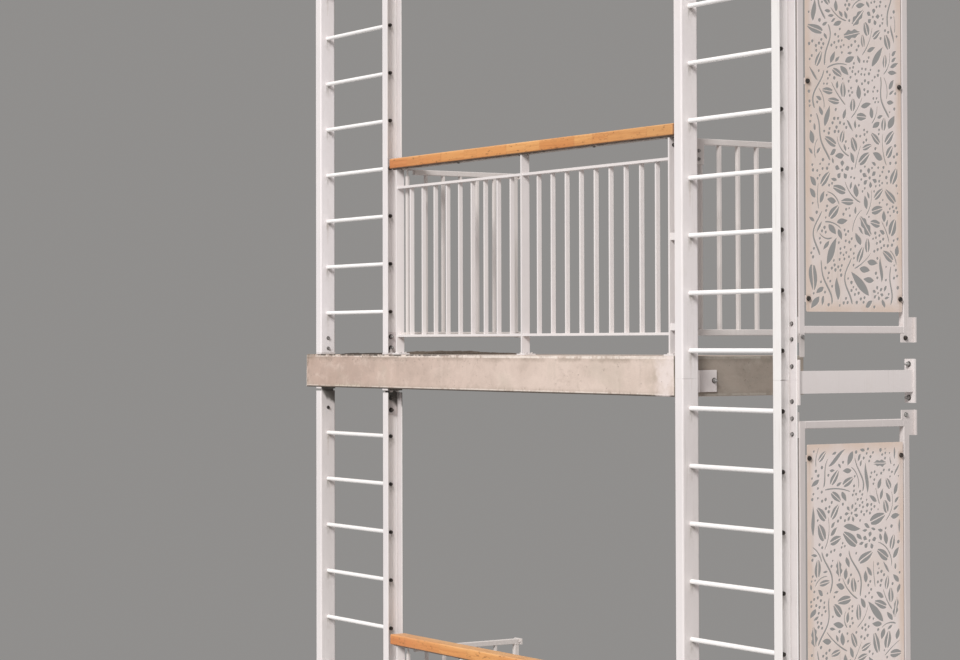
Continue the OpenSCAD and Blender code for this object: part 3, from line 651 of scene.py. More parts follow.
def zinc(name, dark, light, rusty=1.0, metallic=0.62):
    """Zinc-plated fasteners: mottled, rusting here and there."""
    m = Mat(name)
    mott = m.noise(scale=95.0, detail=4, rough=0.65)
    spot = m.noise(m.scaled(1, 1, 1, (4, 4, 4)), scale=240.0, detail=3)
    which = m.white(m.vec(m.math("ROUND", m.math("MULTIPLY", m.x, 6.0)), m.math("ROUND", m.math("MULTIPLY", m.y, 9.0)),
                          m.math("ROUND", m.math("MULTIPLY", m.z, 7.0))))
    c = m.mix(m.step(mott, 0.35, 0.65), dark, light)
    c = m.mix(m.mul(m.step(spot, 0.52, 0.68), m.step(which, 0.25, 0.8, 0.15, 0.85), 0.9 * rusty), c, (0.125, 0.054, 0.028, 1))
    # painted shade in crevices that the AO finds
    c = m.mix(m.step(m.ao(0.006, 4), 0.8, 0.3, 0, 0.6), c, (0.035, 0.030, 0.026, 1))
    n = m.bump(mott, 0.0004, 0.5)
    n = m.bump(spot, 0.00025, 0.6, n)
    return m.finish(c, m.step(mott, 0.3, 0.7, 0.42, 0.62), n, metallic)


def floor_mat():
    m = Mat("studio_floor")
    n1 = m.noise(scale=0.8, detail=4)
    c = m.mix(m.step(n1, 0.3, 0.7), (0.445, 0.436, 0.427, 1), (0.465, 0.456, 0.447, 1))
    n = m.bump(m.noise(scale=140.0, detail=3), 0.001, 0.3)
    return m.finish(c, m.step(n1, 0.3, 0.7, 0.7, 0.8), n, 0.0)


CONCRETE, TIMBER = concrete(), timber()
ZINC = zinc("zinc_dark", (0.040, 0.036, 0.033, 1), (0.105, 0.097, 0.090, 1))
GREY = zinc("zinc_grey", (0.200, 0.188, 0.184, 1), (0.380, 0.362, 0.355, 1), 0.4, 0.3)
GALV = zinc("zinc_bright", (0.300, 0.290, 0.280, 1), (0.460, 0.450, 0.440, 1), 0.35, 0.5)
PAINTED = zinc("bolts_painted", (0.520, 0.480, 0.460, 1), (0.660, 0.615, 0.600, 1), 0.55, 0.0)
SHEET = {i: cut_sheet(i) for i in (1, 2, 3)}

# ---------------------------------------------------------------------------
# CAD nodes that stay: finish and rolled or broken arrises
# ---------------------------------------------------------------------------


def finish_node(name, mat, width, angle=38, segments=2):
    ob = NODES[name]
    ob.data.materials.clear()
    ob.data.materials.append(mat)
    w = ob.modifiers.new("weld", "WELD")
    w.merge_threshold = 0.00002
    dec = ob.modifiers.new("planes", "DECIMATE")
    dec.decimate_type = "DISSOLVE"
    dec.angle_limit = math.radians(0.6)
    b = ob.modifiers.new("arris", "BEVEL")
    b.width = width
    b.segments = segments
    b.limit_method = "ANGLE"
    b.angle_limit = math.radians(angle)
    b.miter_outer = "MITER_SHARP"
    b.use_clamp_overlap = True
    b.harden_normals = False
    wn = ob.modifiers.new("normals", "WEIGHTED_NORMAL")
    wn.keep_sharp = False
    wn.weight = 60


for nm in NODES:
    if nm.startswith("front_balustrade"):
        finish_node(nm, PAINT, 0.0011)
    elif nm.startswith(("left_return", "right_return")):
        finish_node(nm, PAINT_SIDE_SHADED, 0.0010)
    elif nm.startswith("right_ladder_stiles"):
        finish_node(nm, PAINT_RIGHT, 0.0009)
    elif nm.startswith("left_ladder_stiles"):
        finish_node(nm, PAINT_LEFT[int(nm[-1])], 0.0009)
    elif "ladder_rungs" in nm:
        finish_node(nm, PAINT_RUNG_LIT, 0.0008, 50)
    elif nm.startswith("screen_frame"):
        finish_node(nm, PAINT_SCREEN, 0.0010)
    elif nm.startswith(("wall_bar", "slab_brackets", "foot_plates", "left_ladder_cleats")):
        finish_node(nm, PAINT_CLEAT if "cleats" in nm else PAINT_FLAT, 0.0012)

# ---------------------------------------------------------------------------
# mesh helpers
# ---------------------------------------------------------------------------


class Soup:
    """Collects closed shapes into one mesh."""

    def __init__(self):
        self.v, self.f = [], []

    def add(self, verts, faces):
        n = len(self.v)
        self.v.extend(verts)
        self.f.extend([tuple(i + n for i in f) for f in faces])

    def make(self, name, mat, slot, nodes=(), smooth=35):
        me = bpy.data.meshes.new(name)
        me.from_pydata([tuple(p) for p in self.v], [], self.f)
        me.validate()
        me.update()
        return place(name, me, mat, nodes, smooth)


def place(name, me, mat, nodes=(), smooth=35):
    me.materials.append(mat)
    if smooth:
        me.polygons.foreach_set("use_smooth", np.ones(len(me.polygons), bool))
        me.set_sharp_from_angle(angle=math.radians(smooth))
    ob = bpy.data.objects.new(name, me)
    SCENE.collection.objects.link(ob)
    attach(ob, "root")
    if nodes:
        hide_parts(*nodes)
    return ob


def lathe(profile, n=20):
    """Turns (radius, height) points round the z axis; both ends lie on the axis."""
    v, f, rings = [], [], []
    for rad, h in profile:
        if rad < 1e-9:
            rings.append([len(v)])
            v.append((0.0, 0.0, h))
        else:
            rings.append(list(range(len(v), len(v) + n)))
            v.extend((rad * math.cos(2 * math.pi * k / n), rad * math.sin(2 * math.pi * k / n), h) for k in range(n))
    for a, b in zip(rings, rings[1:]):
        for k in range(n):
            k2 = (k + 1) % n
            if len(a) == 1:
                f.append((a[0], b[k2], b[k]))
            elif len(b) == 1:
                f.append((a[k], a[k2], b[0]))
            else:
                f.append((a[k], a[k2], b[k2], b[k]))
    return v, f


def hexagon(af, h, dish=0.0):
    """Hexagon nut or head, its corners cut by a cone; stands on z = 0."""
    n = 24
    v, f = [], []

    def hexr(t):
        t = (t + math.pi / 6) % (math.pi / 3) - math.pi / 6
        return af / 2 / math.cos(t)
    angs = [2 * math.pi * k / n for k in range(n)]
    cone = af / 2 * 0.985
    rows = [
        [(hexr(t) * 0.985, 0.0) for t in angs],
        [(hexr(t), 0.0003) for t in angs],
        [(hexr(t), h - 0.0002 - (hexr(t) - cone) * 0.62) for t in angs],
        [(cone, h) for t in angs],
        [(cone * 0.93, h) for t in angs],
    ]
    if dish:
        rows.append([(cone * 0.80, h - dish) for t in angs])
    for row in rows:
        for t, (rad, z) in zip(angs, row):
            v.append((rad * math.cos(t), rad * math.sin(t), z))
    for a in range(len(rows) - 1):
        for k in range(n):
            k2 = (k + 1) % n
            f.append((a * n + k, a * n + k2, (a + 1) * n + k2, (a + 1) * n + k))
    f.append(tuple(reversed(range(n))))
    last = (len(rows) - 1) * n
    f.append(tuple(range(last, last + n)))
    return v, f


def washer(rad, t):
    return lathe([(0, -0.0002), (rad * 0.97, -0.0002), (rad, t * 0.2), (rad, t * 0.7), (rad * 0.96, t), (0, t)], 18)


def thread(rad, z0, z1, pitch=0.00175, n=12):
    prof = [(0, z0)]
    z = z0
    while z < z1 - pitch:
        prof += [(rad * 0.90, z + 0.02 * pitch), (rad, z + 0.5 * pitch)]
        z += pitch
    prof += [(rad * 0.90, z), (rad * 0.86, z1 - 0.0004), (rad * 0.74, z1), (0, z1)]
    return lathe(prof, n)


def turned(parts, pos, direction, spin, tilt=(0, 0)):
    """Moves local shapes so that +z points along direction, at pos."""
    q = Vector(direction).to_track_quat("Z", "Y").to_matrix().to_4x4()
    m = Matrix.Translation(pos) @ q @ Matrix.Rotation(spin, 4, "Z")
    return [([tuple(m @ Vector(p)) for p in v], f) for v, f in parts]


RND = random.Random(20)


def nut(soup, pos, direction, af=0.019, h=0.010, stub=0.006, wash=0.012, ring=None):
    """ring = the soup that takes the washer where it is darker than the nut; that dark washer stands in as painted
    shadow round a paler nut.
    """
    parts = []
    z = 0.0
    if wash:
        if ring is None:
            parts.append(washer(wash, 0.0024))
        else:
            for v, f in turned([washer(wash, 0.0024)], pos, direction, 0.0):
                ring.add(v, f)
        z = 0.0024
    v, f = hexagon(af, h)
    parts.append(([(a, b, c + z) for a, b, c in v], f))
    if stub:
        v, f = thread(af * 0.315, z + h - 0.001, z + h + stub)
        parts.append((v, f))
    for v, f in turned(parts, pos, direction, RND.uniform(0, math.pi / 3)):
        soup.add(v, f)


def head(soup, pos, direction, af=0.019, h=0.0075, wash=0.012, ring=None):
    parts = []
    z = 0.0
    # a washer sent to ring is dark, as painted shadow round the head
    if wash:
        if ring is None:
            parts.append(washer(wash, 0.0024))
        else:
            for v, f in turned([washer(wash, 0.0024)], pos, direction, 0.0):
                ring.add(v, f)
        z = 0.0024
    v, f = hexagon(af, h, 0.0006)
    parts.append(([(a, b, c + z) for a, b, c in v], f))
    for v, f in turned(parts, pos, direction, RND.uniform(0, math.pi / 3)):
        soup.add(v, f)


def bead(soup, p0, p1, rad=0.0022, sides=6, pitch=0.0037):
    """A weld bead from p0 to p1: a rippled round, half sunk in the corner it fills."""
    p0, p1 = Vector(p0), Vector(p1)
    axis = p1 - p0
    length = axis.length
    axis.normalize()
    side = axis.orthogonal().normalized()
    other = axis.cross(side)
    n = max(3, int(length / (pitch * 0.5)))
    n = min(n, 120)
    v, f = [], []
    wob = RND.uniform(0, 50)
    for k in range(n + 1):
        t = k / n
        rr = rad * (1 + 0.13 * math.cos(math.pi * k)) * (1 + 0.16 * noise.noise((wob + t * length * 60, 0.3, 0.7)))
        if k in (0, n):
            rr *= 0.45
        c = p0 + axis * (length * t)
        for s in range(sides):
            a = 2 * math.pi * s / sides
            v.append(tuple(c + (side * math.cos(a) + other * math.sin(a)) * rr))
    for k in range(n):
        for s in range(sides):
            s2 = (s + 1) % sides
            f.append((k * sides + s, k * sides + s2, (k + 1) * sides + s2, (k + 1) * sides + s))
    f.append(tuple(reversed(range(sides))))
    f.append(tuple(range(n * sides, n * sides + sides)))
    soup.add(v, f)


def bead_rect(soup, axis, at, a0, a1, b0, b1, rad=0.0022):
    """Beads round a rectangle in the plane where the given axis is at."""
    def pt(a, b):
        return {"x": (at, a, b), "y": (a, at, b), "z": (a, b, at)}[axis]
    for q0, q1 in (((a0, b0), (a1, b0)), ((a1, b0), (a1, b1)), ((a1, b1), (a0, b1)), ((a0, b1), (a0, b0))):
        bead(soup, pt(*q0), pt(*q1), rad)


# ---------------------------------------------------------------------------
# concrete slabs: cast, with worn and chipped arrises and a drip groove
# ---------------------------------------------------------------------------


def lines(a, b, step_, extra=(), fine=(0.0013, 0.0028, 0.0045, 0.0065, 0.009, 0.0125, 0.018)):
    s = [a, b]
    for q in fine:
        s += [a + q, b - q]
    n = max(2, int(round((b - a - 2 * fine[-1]) / step_)))
    s += [a + fine[-1] + (b - a - 2 * fine[-1]) * k / n for k in range(1, n)]
    keep = sorted(set(extra))
    s = [q for q in s if all(abs(q - e) > 0.0009 for e in keep)] + keep
    return sorted(s)


def slab(i):
    rnd = random.Random(310 + i)
    x0, x1, y0, y1 = -3.803, -0.042, -0.050, 0.770
    z1 = LEV[i]
    z0 = z1 - 0.2
    chips = []
    for edge, n in (("top", 7), ("low", 6)):
        for _ in range(n):
            chips.append((edge, rnd.uniform(x0 + 0.1, x1 - 0.06), rnd.uniform(0.006, 0.022), rnd.uniform(0.003, 0.010)))
    chips.append(("low", x1 - 0.012, 0.016, 0.008))
    chips.append(("top", x0 + 0.012, 0.020, 0.008))
    groove = (-0.026, -0.010)
    ex = [x0 + 0.045, x0 + 0.052, x1 - 0.045, x1 - 0.052]
    for _, cx, w, _d in chips:
        ex += [cx + w * q for q in (-1.6, -1.1, -0.7, -0.35, 0.0, 0.35, 0.7, 1.1, 1.6)]
    ex = sorted(q for q in ex if x0 + 0.001 < q < x1 - 0.001)
    ex = [q for k, q in enumerate(ex) if k == 0 or q - ex[k - 1] > 0.0018]
    xs = lines(x0, x1, 0.026, ex)
    ys = lines(y0, y1, 0.045, [groove[0], groove[0] + 0.002, groove[0] + 0.005, groove[0] + 0.008,
                               groove[0] + 0.011, groove[0] + 0.014, groove[1]])
    zs = lines(z0, z1, 0.016)
    nx, ny, nz = len(xs), len(ys), len(zs)

    def r_of(x, y, z, edge):
        base = 0.0042 + 0.0016 * noise.noise((x * 9.0, y * 9.0, i * 3.1 + (5 if edge == "top" else 0)))
        if y > 0.5:
            return 0.003
        for e_, cx, w, dep in chips:
            if e_ == edge and y < 0.1:
                q = (x - cx) / w
                if abs(q) < 1.7:
                    base += dep * math.exp(-q * q * 1.6) * (0.75 + 0.5 * noise.noise((x * 160, i, cx * 9)))
        return min(max(base, 0.0022), 0.0165)

    index, verts = {}, []
    for a in range(nx):
        for b in range(ny):
            for c in range(nz):
                on = a in (0, nx - 1) or b in (0, ny - 1) or c in (0, nz - 1)
                if not on:
                    continue
                x, y, z = xs[a], ys[b], zs[c]
                rr = r_of(x, y, z, "top" if c > nz / 2 else "low")
                qx = min(max(x, x0 + rr), x1 - rr)
                qy = min(max(y, y0 + rr), y1 - rr)
                qz = min(max(z, z0 + rr), z1 - rr)
                vx, vy, vz = x - qx, y - qy, z - qz
                ln = math.sqrt(vx * vx + vy * vy + vz * vz)
                if ln > 1e-9:
                    k = rr / ln
                    x, y, z = qx + vx * k, qy + vy * k, qz + vz * k
                    und = (noise.noise((xs[a] * 3.1, ys[b] * 3.1, zs[c] * 3.1 + 7 * i)) - 0.6) * 0.0007 \
                        + (noise.noise((xs[a] * 23, ys[b] * 23, zs[c] * 23 + 3 * i)) - 0.6) * 0.00035
                    und = min(und, 0.0)
                    x += vx / ln * und
                    y += vy / ln * und
                    z += vz / ln * und
                if c == 0 and groove[0] < ys[b] < groove[1] and x0 + 0.05 < xs[a] < x1 - 0.05:
                    g = (ys[b] - (groove[0] + groove[1]) / 2) / ((groove[1] - groove[0]) / 2)
                    z += 0.008 * math.sqrt(max(0.0, 1 - g * g))
                index[(a, b, c)] = len(verts)
                verts.append((x, y, z))
    faces = []
    for a in range(nx - 1):
        for b in range(ny - 1):
            faces.append((index[a, b, nz - 1], index[a + 1, b, nz - 1], index[a + 1, b + 1, nz - 1], index[a, b + 1, nz - 1]))
            faces.append((index[a, b, 0], index[a, b + 1, 0], index[a + 1, b + 1, 0], index[a + 1, b, 0]))
        for c in range(nz - 1):
            faces.append((index[a, 0, c], index[a + 1, 0, c], index[a + 1, 0, c + 1], index[a, 0, c + 1]))
            faces.append((index[a, ny - 1, c], index[a, ny - 1, c + 1], index[a + 1, ny - 1, c + 1], index[a + 1, ny - 1, c]))
    for b in range(ny - 1):
        for c in range(nz - 1):
            faces.append((index[0, b, c], index[0, b, c + 1], index[0, b + 1, c + 1], index[0, b + 1, c]))
            faces.append((index[nx - 1, b, c], index[nx - 1, b + 1, c], index[nx - 1, b + 1, c + 1], index[nx - 1, b, c + 1]))
    s = Soup()
    s.add(verts, faces)
    s.make(f"concrete_slab_{i}", CONCRETE, "concrete", [f"slab_{i}"], smooth=50)


for i in (1, 2, 3):
    slab(i)

# ---------------------------------------------------------------------------
# timber handrails
# ---------------------------------------------------------------------------


def handrail(i):
    rnd = random.Random(77 + i)
    x0, x1 = -2.789, -0.044
    zc, hy, hz = LEV[i] + 1.109, 0.050, 0.030
    n = 190
    # both ends are rounded over
    er = 0.0085
    arc = [math.radians(90 * k / 6) for k in range(6)]
    rise = [(er * (1 - math.cos(t)), er * (1 - math.sin(t))) for t in arc]
    stations = [x0 + p for p, _q in rise] + [x0 + er + (x1 - x0 - 2 * er) * k / n for k in range(n + 1)] \
        + [x1 - p for p, _q in reversed(rise)]
    inset = [q for _p, q in rise] + [0.0] * (n + 1) + [q for _p, q in reversed(rise)]

    def outline(rad, shrink, x):
        pts = []
        for cx, cz, a0 in ((hy - rad, hz - rad, 0), (-hy + rad, hz - rad, 90), (-hy + rad, -hz + rad, 180), (hy - rad, -hz + rad, 270)):
            for k in range(7):
                a = math.radians(a0 + 90 * k / 6)
                pts.append((cx + rad * math.cos(a), cz + rad * math.sin(a), math.cos(a), math.sin(a)))
            nxt = {0: (-hy + rad, hz, 0, 1, 7), 90: (-hy, -hz + rad, -1, 0, 4), 180: (hy - rad, -hz, 0, -1, 7), 270: (hy, hz - rad, 1, 0, 4)}[a0]
            lx, lz = pts[-1][0], pts[-1][1]
            for k in range(1, nxt[4]):
                t = k / nxt[4]
                pts.append((lx + (nxt[0] - lx) * t, lz + (nxt[1] - lz) * t, nxt[2], nxt[3]))
        out = []
        for k, (py, pz, ny_, nz_) in enumerate(pts):
            w = noise.noise((x * 2.3, py * 21 + i * 5, pz * 21)) * 0.00045 + noise.noise((x * 0.7 + 9, k * 0.01, i * 4)) * 0.0003
            off = min(0.0, w - 0.0003) - shrink
            out.append((x, py + ny_ * off, zc + pz + nz_ * off))
        return out

    s = Soup()
    verts, faces = [], []
    m_ = None
    for st, ins in zip(stations, inset):
        rad = 0.009 + 0.0012 * noise.noise((st * 3.0, i * 2.0, 0.4))
        ring_ = outline(rad, ins, st)
        m_ = len(ring_)
        verts.extend(ring_)
    for a in range(len(stations) - 1):
        for k in range(m_):
            k2 = (k + 1) % m_
            faces.append((a * m_ + k, (a + 1) * m_ + k, (a + 1) * m_ + k2, a * m_ + k2))
    faces.append(tuple(range(m_)))
    last = (len(stations) - 1) * m_
    faces.append(tuple(reversed(range(last, last + m_))))
    s.add(verts, faces)
    s.make(f"timber_handrail_{i}", TIMBER, "timber", [f"handrail_{i}"], smooth=40)


for i in (1, 2, 3):
    handrail(i)

# ---------------------------------------------------------------------------
# cut sheets: a generic pattern of leaves, stems, berries and blossoms, each an opening
# ---------------------------------------------------------------------------

SH_Y0, SH_Y1 = 0.105, 0.692
CELL = 0.0016


def inside(px, py, poly):
    """Even-odd test of many points against one closed outline."""
    res = np.zeros(px.shape, bool)
    n = len(poly)
    j = n - 1
    for k in range(n):
        xi, yi = poly[k]
        xj, yj = poly[j]
        if yi != yj:
            cross = ((yi > py) != (yj > py)) & (px < (xj - xi) * (py - yi) / (yj - yi) + xi)
            res ^= cross
        j = k
    return res


class Field:
    """The plain field of one sheet, in which openings are kept apart by a web of metal."""

    def __init__(self, w, h, keepout, gap=0.0056, border=0.014):
        self.w, self.h = w, h
        self.nx, self.ny = int(w / CELL) + 1, int(h / CELL) + 1
        self.used = np.zeros((self.ny, self.nx), bool)
        b = int(border / CELL)
        self.used[:b] = self.used[-b:] = True
        self.used[:, :b] = self.used[:, -b:] = True
        yy, xx = np.mgrid[0:self.ny, 0:self.nx] * CELL
        for kx, ky, kr in keepout:
            self.used |= (xx - kx) ** 2 + (yy - ky) ** 2 < kr * kr
        self.loops, self.area = [], 0.0
        k = int(math.ceil(gap / CELL))
        self.disc = [(a, c) for a in range(-k, k + 1) for c in range(-k, k + 1) if a * a + c * c <= k * k]
        self.k = k

    def mask(self, loops):
        pts = [p for lp in loops for p in lp]
        xa = int(min(p[0] for p in pts) / CELL) - self.k - 1
        xb = int(max(p[0] for p in pts) / CELL) + self.k + 3
        ya = int(min(p[1] for p in pts) / CELL) - self.k - 1
        yb = int(max(p[1] for p in pts) / CELL) + self.k + 3
        if xa < 0 or ya < 0 or xb > self.nx or yb > self.ny:
            return None
        yy, xx = np.mgrid[ya:yb, xa:xb] * CELL
        mk = np.zeros(xx.shape, bool)
        for lp in loops:
            mk |= inside(xx, yy, lp)
            for px, py in lp:
                mk[int(round(py / CELL)) - ya, int(round(px / CELL)) - xa] = True
        return (xa, xb, ya, yb, mk)

    def fits(self, loops):
        got = self.mask(loops)
        if got is None:
            return None
        xa, xb, ya, yb, mk = got
        if (self.used[ya:yb, xa:xb] & mk).any():
            return None
        return got

    def put(self, loops):
        got = self.fits(loops)
        if got is None:
            return False
        xa, xb, ya, yb, mk = got
        win = self.used[ya:yb, xa:xb]
        h_, w_ = mk.shape
        grown = mk.copy()
        for a, c in self.disc:
            sy0, sy1 = max(0, a), min(h_, h_ + a)
            sx0, sx1 = max(0, c), min(w_, w_ + c)
            grown[sy0:sy1, sx0:sx1] |= mk[sy0 - a:sy1 - a, sx0 - c:sx1 - c]
        win |= grown
        self.loops.extend(loops)
        for lp in loops:
            self.area += abs(sum(lp[k - 1][0] * lp[k][1] - lp[k][0] * lp[k - 1][1] for k in range(len(lp)))) / 2
        return True


def rot(pts, ang, ox, oy):
    c, s = math.cos(ang), math.sin(ang)
    return [(ox + x * c - y * s, oy + x * s + y * c) for x, y in pts]


def leaf(length, width, curve=0.0, rib=0.0, lobes=0, n=13, power=0.85):
    """Pointed leaf from the origin along +x, as one outline or as two halves beside a rib."""
    def half(s, t):
        w = width / 2 * math.sin(math.pi * t ** power) ** 0.92
        if lobes:
            w *= 0.80 + 0.20 * math.cos(2 * math.pi * lobes * t)
        return w
    def mid(t):
        return curve * length * math.sin(math.pi * t * 0.5) ** 2
    up = [(length * t, mid(t) + half(1, t)) for t in [k / n for k in range(n + 1)]]
    dn = [(length * t, mid(t) - half(-1, t)) for t in [k / n for k in range(n + 1)]]
    if not rib:
        return [up + dn[-2:0:-1]]
    out = []
    for side in (1, -1):
        ts = [0.10 + 0.80 * k / n for k in range(n + 1)]
        outer = [(length * t, mid(t) + side * max(half(side, t), rib / 2 + 0.0007)) for t in ts]
        inner = [(length * t, mid(t) + side * rib / 2) for t in ts]
        loop = outer + inner[::-1]
        out.append(loop if side > 0 else loop[::-1])
    return out


def circle(rad, ox=0.0, oy=0.0, n=12):
    return [(ox + rad * math.cos(2 * math.pi * k / n), oy + rad * math.sin(2 * math.pi * k / n)) for k in range(n)]


def band(points, w0, w1):
    """A thin curved opening along points, tapering from w0 to w1."""
    left, right = [], []
    n = len(points)
    for k, (x, y) in enumerate(points):
        a = points[max(0, k - 1)]
        b = points[min(n - 1, k + 1)]
        dx, dy = b[0] - a[0], b[1] - a[1]
        ln = math.hypot(dx, dy) or 1.0
        w = (w0 + (w1 - w0) * k / (n - 1)) / 2
        if k in (0, n - 1):
            w *= 0.55
        left.append((x - dy / ln * w, y + dx / ln * w))
        right.append((x + dy / ln * w, y - dx / ln * w))
    return [left + right[::-1]]


def blossom(rad, petals, seed):
    out = [circle(rad * 0.17, n=8)]
    for k in range(petals):
        a = 2 * math.pi * (k + seed) / petals
        pet = leaf(rad * 0.68, rad * 2.6 / petals, 0.0, 0.0, 0, 8, 1.35)
        out += [rot(p, a, math.cos(a) * rad * 0.32, math.sin(a) * rad * 0.32) for p in pet]
    return out


def pattern(i):
    rnd = random.Random(9000 + 17 * i)
    w, h = SH_Y1 - SH_Y0, (LEV[i] - 0.4085) - (LEV[i - 1] + 0.2075)
    bolts = [(y - SH_Y0, z - 0.2075, 0.026) for y in (0.116, 0.680) for z in (0.2685, 1.2785, 2.2885)]
    fld = Field(w, h, bolts)
    target = 0.385 * w * h

    def spray(x, y, ang, size):
        """A twig with leaves in pairs, ending in berries, a blossom or a leaf."""
        steps = 9
        bend_ = rnd.uniform(-1.4, 1.4)
        pts = []
        a = ang
        px, py = x, y
        seg = size / steps
        for k in range(steps + 1):
            pts.append((px, py))
            a += bend_ / steps
            px += math.cos(a) * seg
            py += math.sin(a) * seg
        if not fld.put(band(pts, 0.0078, 0.0048)):
            return False
        for k in range(2, steps, 2):
            bx, by = pts[k]
            ta = math.atan2(pts[k + 1][1] - pts[k - 1][1], pts[k + 1][0] - pts[k - 1][0])
            for side in (1, -1):
                la = ta + side * rnd.uniform(0.65, 1.05)
                off = 0.0112
                for ln in (rnd.uniform(0.062, 0.100), 0.056, 0.038):
                    sh = leaf(ln, ln * rnd.uniform(0.36, 0.52), side * -0.10, 0.0036 if ln > 0.070 else 0.0, 0)
                    if fld.put([rot(p, la, bx + math.cos(ta + side * math.pi / 2) * off, by + math.sin(ta + side * math.pi / 2) * off) for p in sh]):
                        break
        ex, ey = pts[-1]
        kind = rnd.random()
        if kind < 0.38:
            berries(ex + math.cos(a) * 0.012, ey + math.sin(a) * 0.012, a)
        elif kind < 0.74:
            rad = rnd.uniform(0.034, 0.050)
            fld.put([rot(p, a, ex + math.cos(a) * (rad + 0.010), ey + math.sin(a) * (rad + 0.010)) for p in blossom(rad, rnd.choice((5, 6)), rnd.random())])
        else:
            ln = rnd.uniform(0.07, 0.10)
            fld.put([rot(p, a, ex + math.cos(a) * 0.010, ey + math.sin(a) * 0.010) for p in leaf(ln, ln * 0.44, 0.05, 0.0036)])
        return True

    def berries(cx, cy, a):
        """A tapering cluster of round openings that starts at a point and points along a."""
        rad = rnd.uniform(0.0066, 0.0086)
        q = 2 * rad + 0.0058
        rows = rnd.choice((4, 5, 6))
        done = 0
        for row in range(rows):
            cols_ = (2, 3, 3, 2, 2, 1)[row]
            for col in range(cols_):
                lx, ly = (row + 0.5) * q * 0.90, (col - (cols_ - 1) / 2) * q
                done += fld.put([rot(circle(rad * rnd.uniform(0.88, 1.04), lx, ly, 11), a, cx, cy)])
        return done > 2

    # three climbing stems that weave but never meet, with sprays to both sides
    for v, base in enumerate((0.17, 0.50, 0.83)):
        phase, amp, wl = rnd.uniform(0, 6.28), rnd.uniform(0.030, 0.050), rnd.uniform(0.50, 0.75)
        y = 0.035
        piece = []
        total = 0.0
        while y < h - 0.06:
            x = base * w + amp * math.sin(2 * math.pi * y / wl + phase) + 0.012 * math.sin(2 * math.pi * y / 0.21)
            piece.append((x, y))
            y += 0.012
            total += 0.012
            if total > rnd.uniform(0.18, 0.26):
                fld.put(band(piece, 0.0115, 0.0085))
                side = rnd.choice((1, -1))
                ta = math.atan2(piece[-1][1] - piece[-2][1], piece[-1][0] - piece[-2][0])
                spray(x + side * 0.018, y, ta - side * rnd.uniform(0.7, 1.15), rnd.uniform(0.11, 0.17))
                if rnd.random() < 0.7:
                    spray(x - side * 0.018, y - 0.06, ta + side * rnd.uniform(0.7, 1.1), rnd.uniform(0.09, 0.14))
                piece, total = [], 0.0
                y += 0.012
        if len(piece) > 3:
            fld.put(band(piece, 0.0115, 0.0060))
    # large leaves in fans, blades and blossoms, then sprays, then smaller leaves and berries
    # until the field is evenly full
    for k in range(2600):
        x, y = rnd.uniform(0.03, w - 0.03), rnd.uniform(0.03, h - 0.03)
        if fld.used[int(y / CELL), int(x / CELL)]:
            continue
        a = rnd.gauss(math.pi / 2, 0.9)
        kind = rnd.random()
        if kind < 0.22:
            # a fan of two or three blades from one root
            ln = rnd.uniform(0.11, 0.16)
            for q in rnd.choice(((-0.36, 0.36), (-0.58, 0.0, 0.58))):
                sh = leaf(ln * (1 - 0.15 * abs(q)), ln * 0.27, q * 0.30, 0.0)
                fld.put([rot(p, a + q, x + 0.022 * math.cos(a + q * 1.9), y + 0.022 * math.sin(a + q * 1.9)) for p in sh])
            continue
        if kind < 0.52:
            ln = rnd.uniform(0.095, 0.150)
            sh = leaf(ln, ln * rnd.uniform(0.34, 0.46), rnd.uniform(-0.22, 0.22), 0.0040, rnd.choice((0, 0, 3)))
        elif kind < 0.66:
            ln = rnd.uniform(0.12, 0.18)
            sh = leaf(ln, 0.023, rnd.uniform(-0.3, 0.3), 0.0)
        elif kind < 0.82:
            rad = rnd.uniform(0.036, 0.052)
            sh = blossom(rad, rnd.choice((5, 6, 7)), rnd.random())
        elif kind < 0.90:
            berries(x, y, a)
            continue
        else:
            spray(x, y, a, rnd.uniform(0.08, 0.13))
            continue
        fld.put([rot(p, a, x, y) for p in sh])
        if fld.area > target * 0.86:
            break
    for k in range(9000):
        x, y = rnd.uniform(0.022, w - 0.022), rnd.uniform(0.022, h - 0.022)
        if fld.used[int(y / CELL), int(x / CELL)]:
            continue
        a = rnd.uniform(0, 6.28)
        kind = rnd.random()
        size = 1.0 if k < 4000 else 0.72
        if kind < 0.66:
            ln = rnd.uniform(0.040, 0.080) * size
            sh = leaf(ln, ln * rnd.uniform(0.38, 0.52), rnd.uniform(-0.2, 0.2), 0.0, 0, 9)
        elif kind < 0.80:
            sh = [circle(rnd.uniform(0.0065, 0.0095) * size)]
        else:
            ln = rnd.uniform(0.06, 0.11) * size
            sh = leaf(ln, 0.0135, rnd.uniform(-0.4, 0.4), 0.0, 0, 10)
        fld.put([rot(p, a, x, y) for p in sh])
        if fld.area > target:
            break
    return fld, w, h


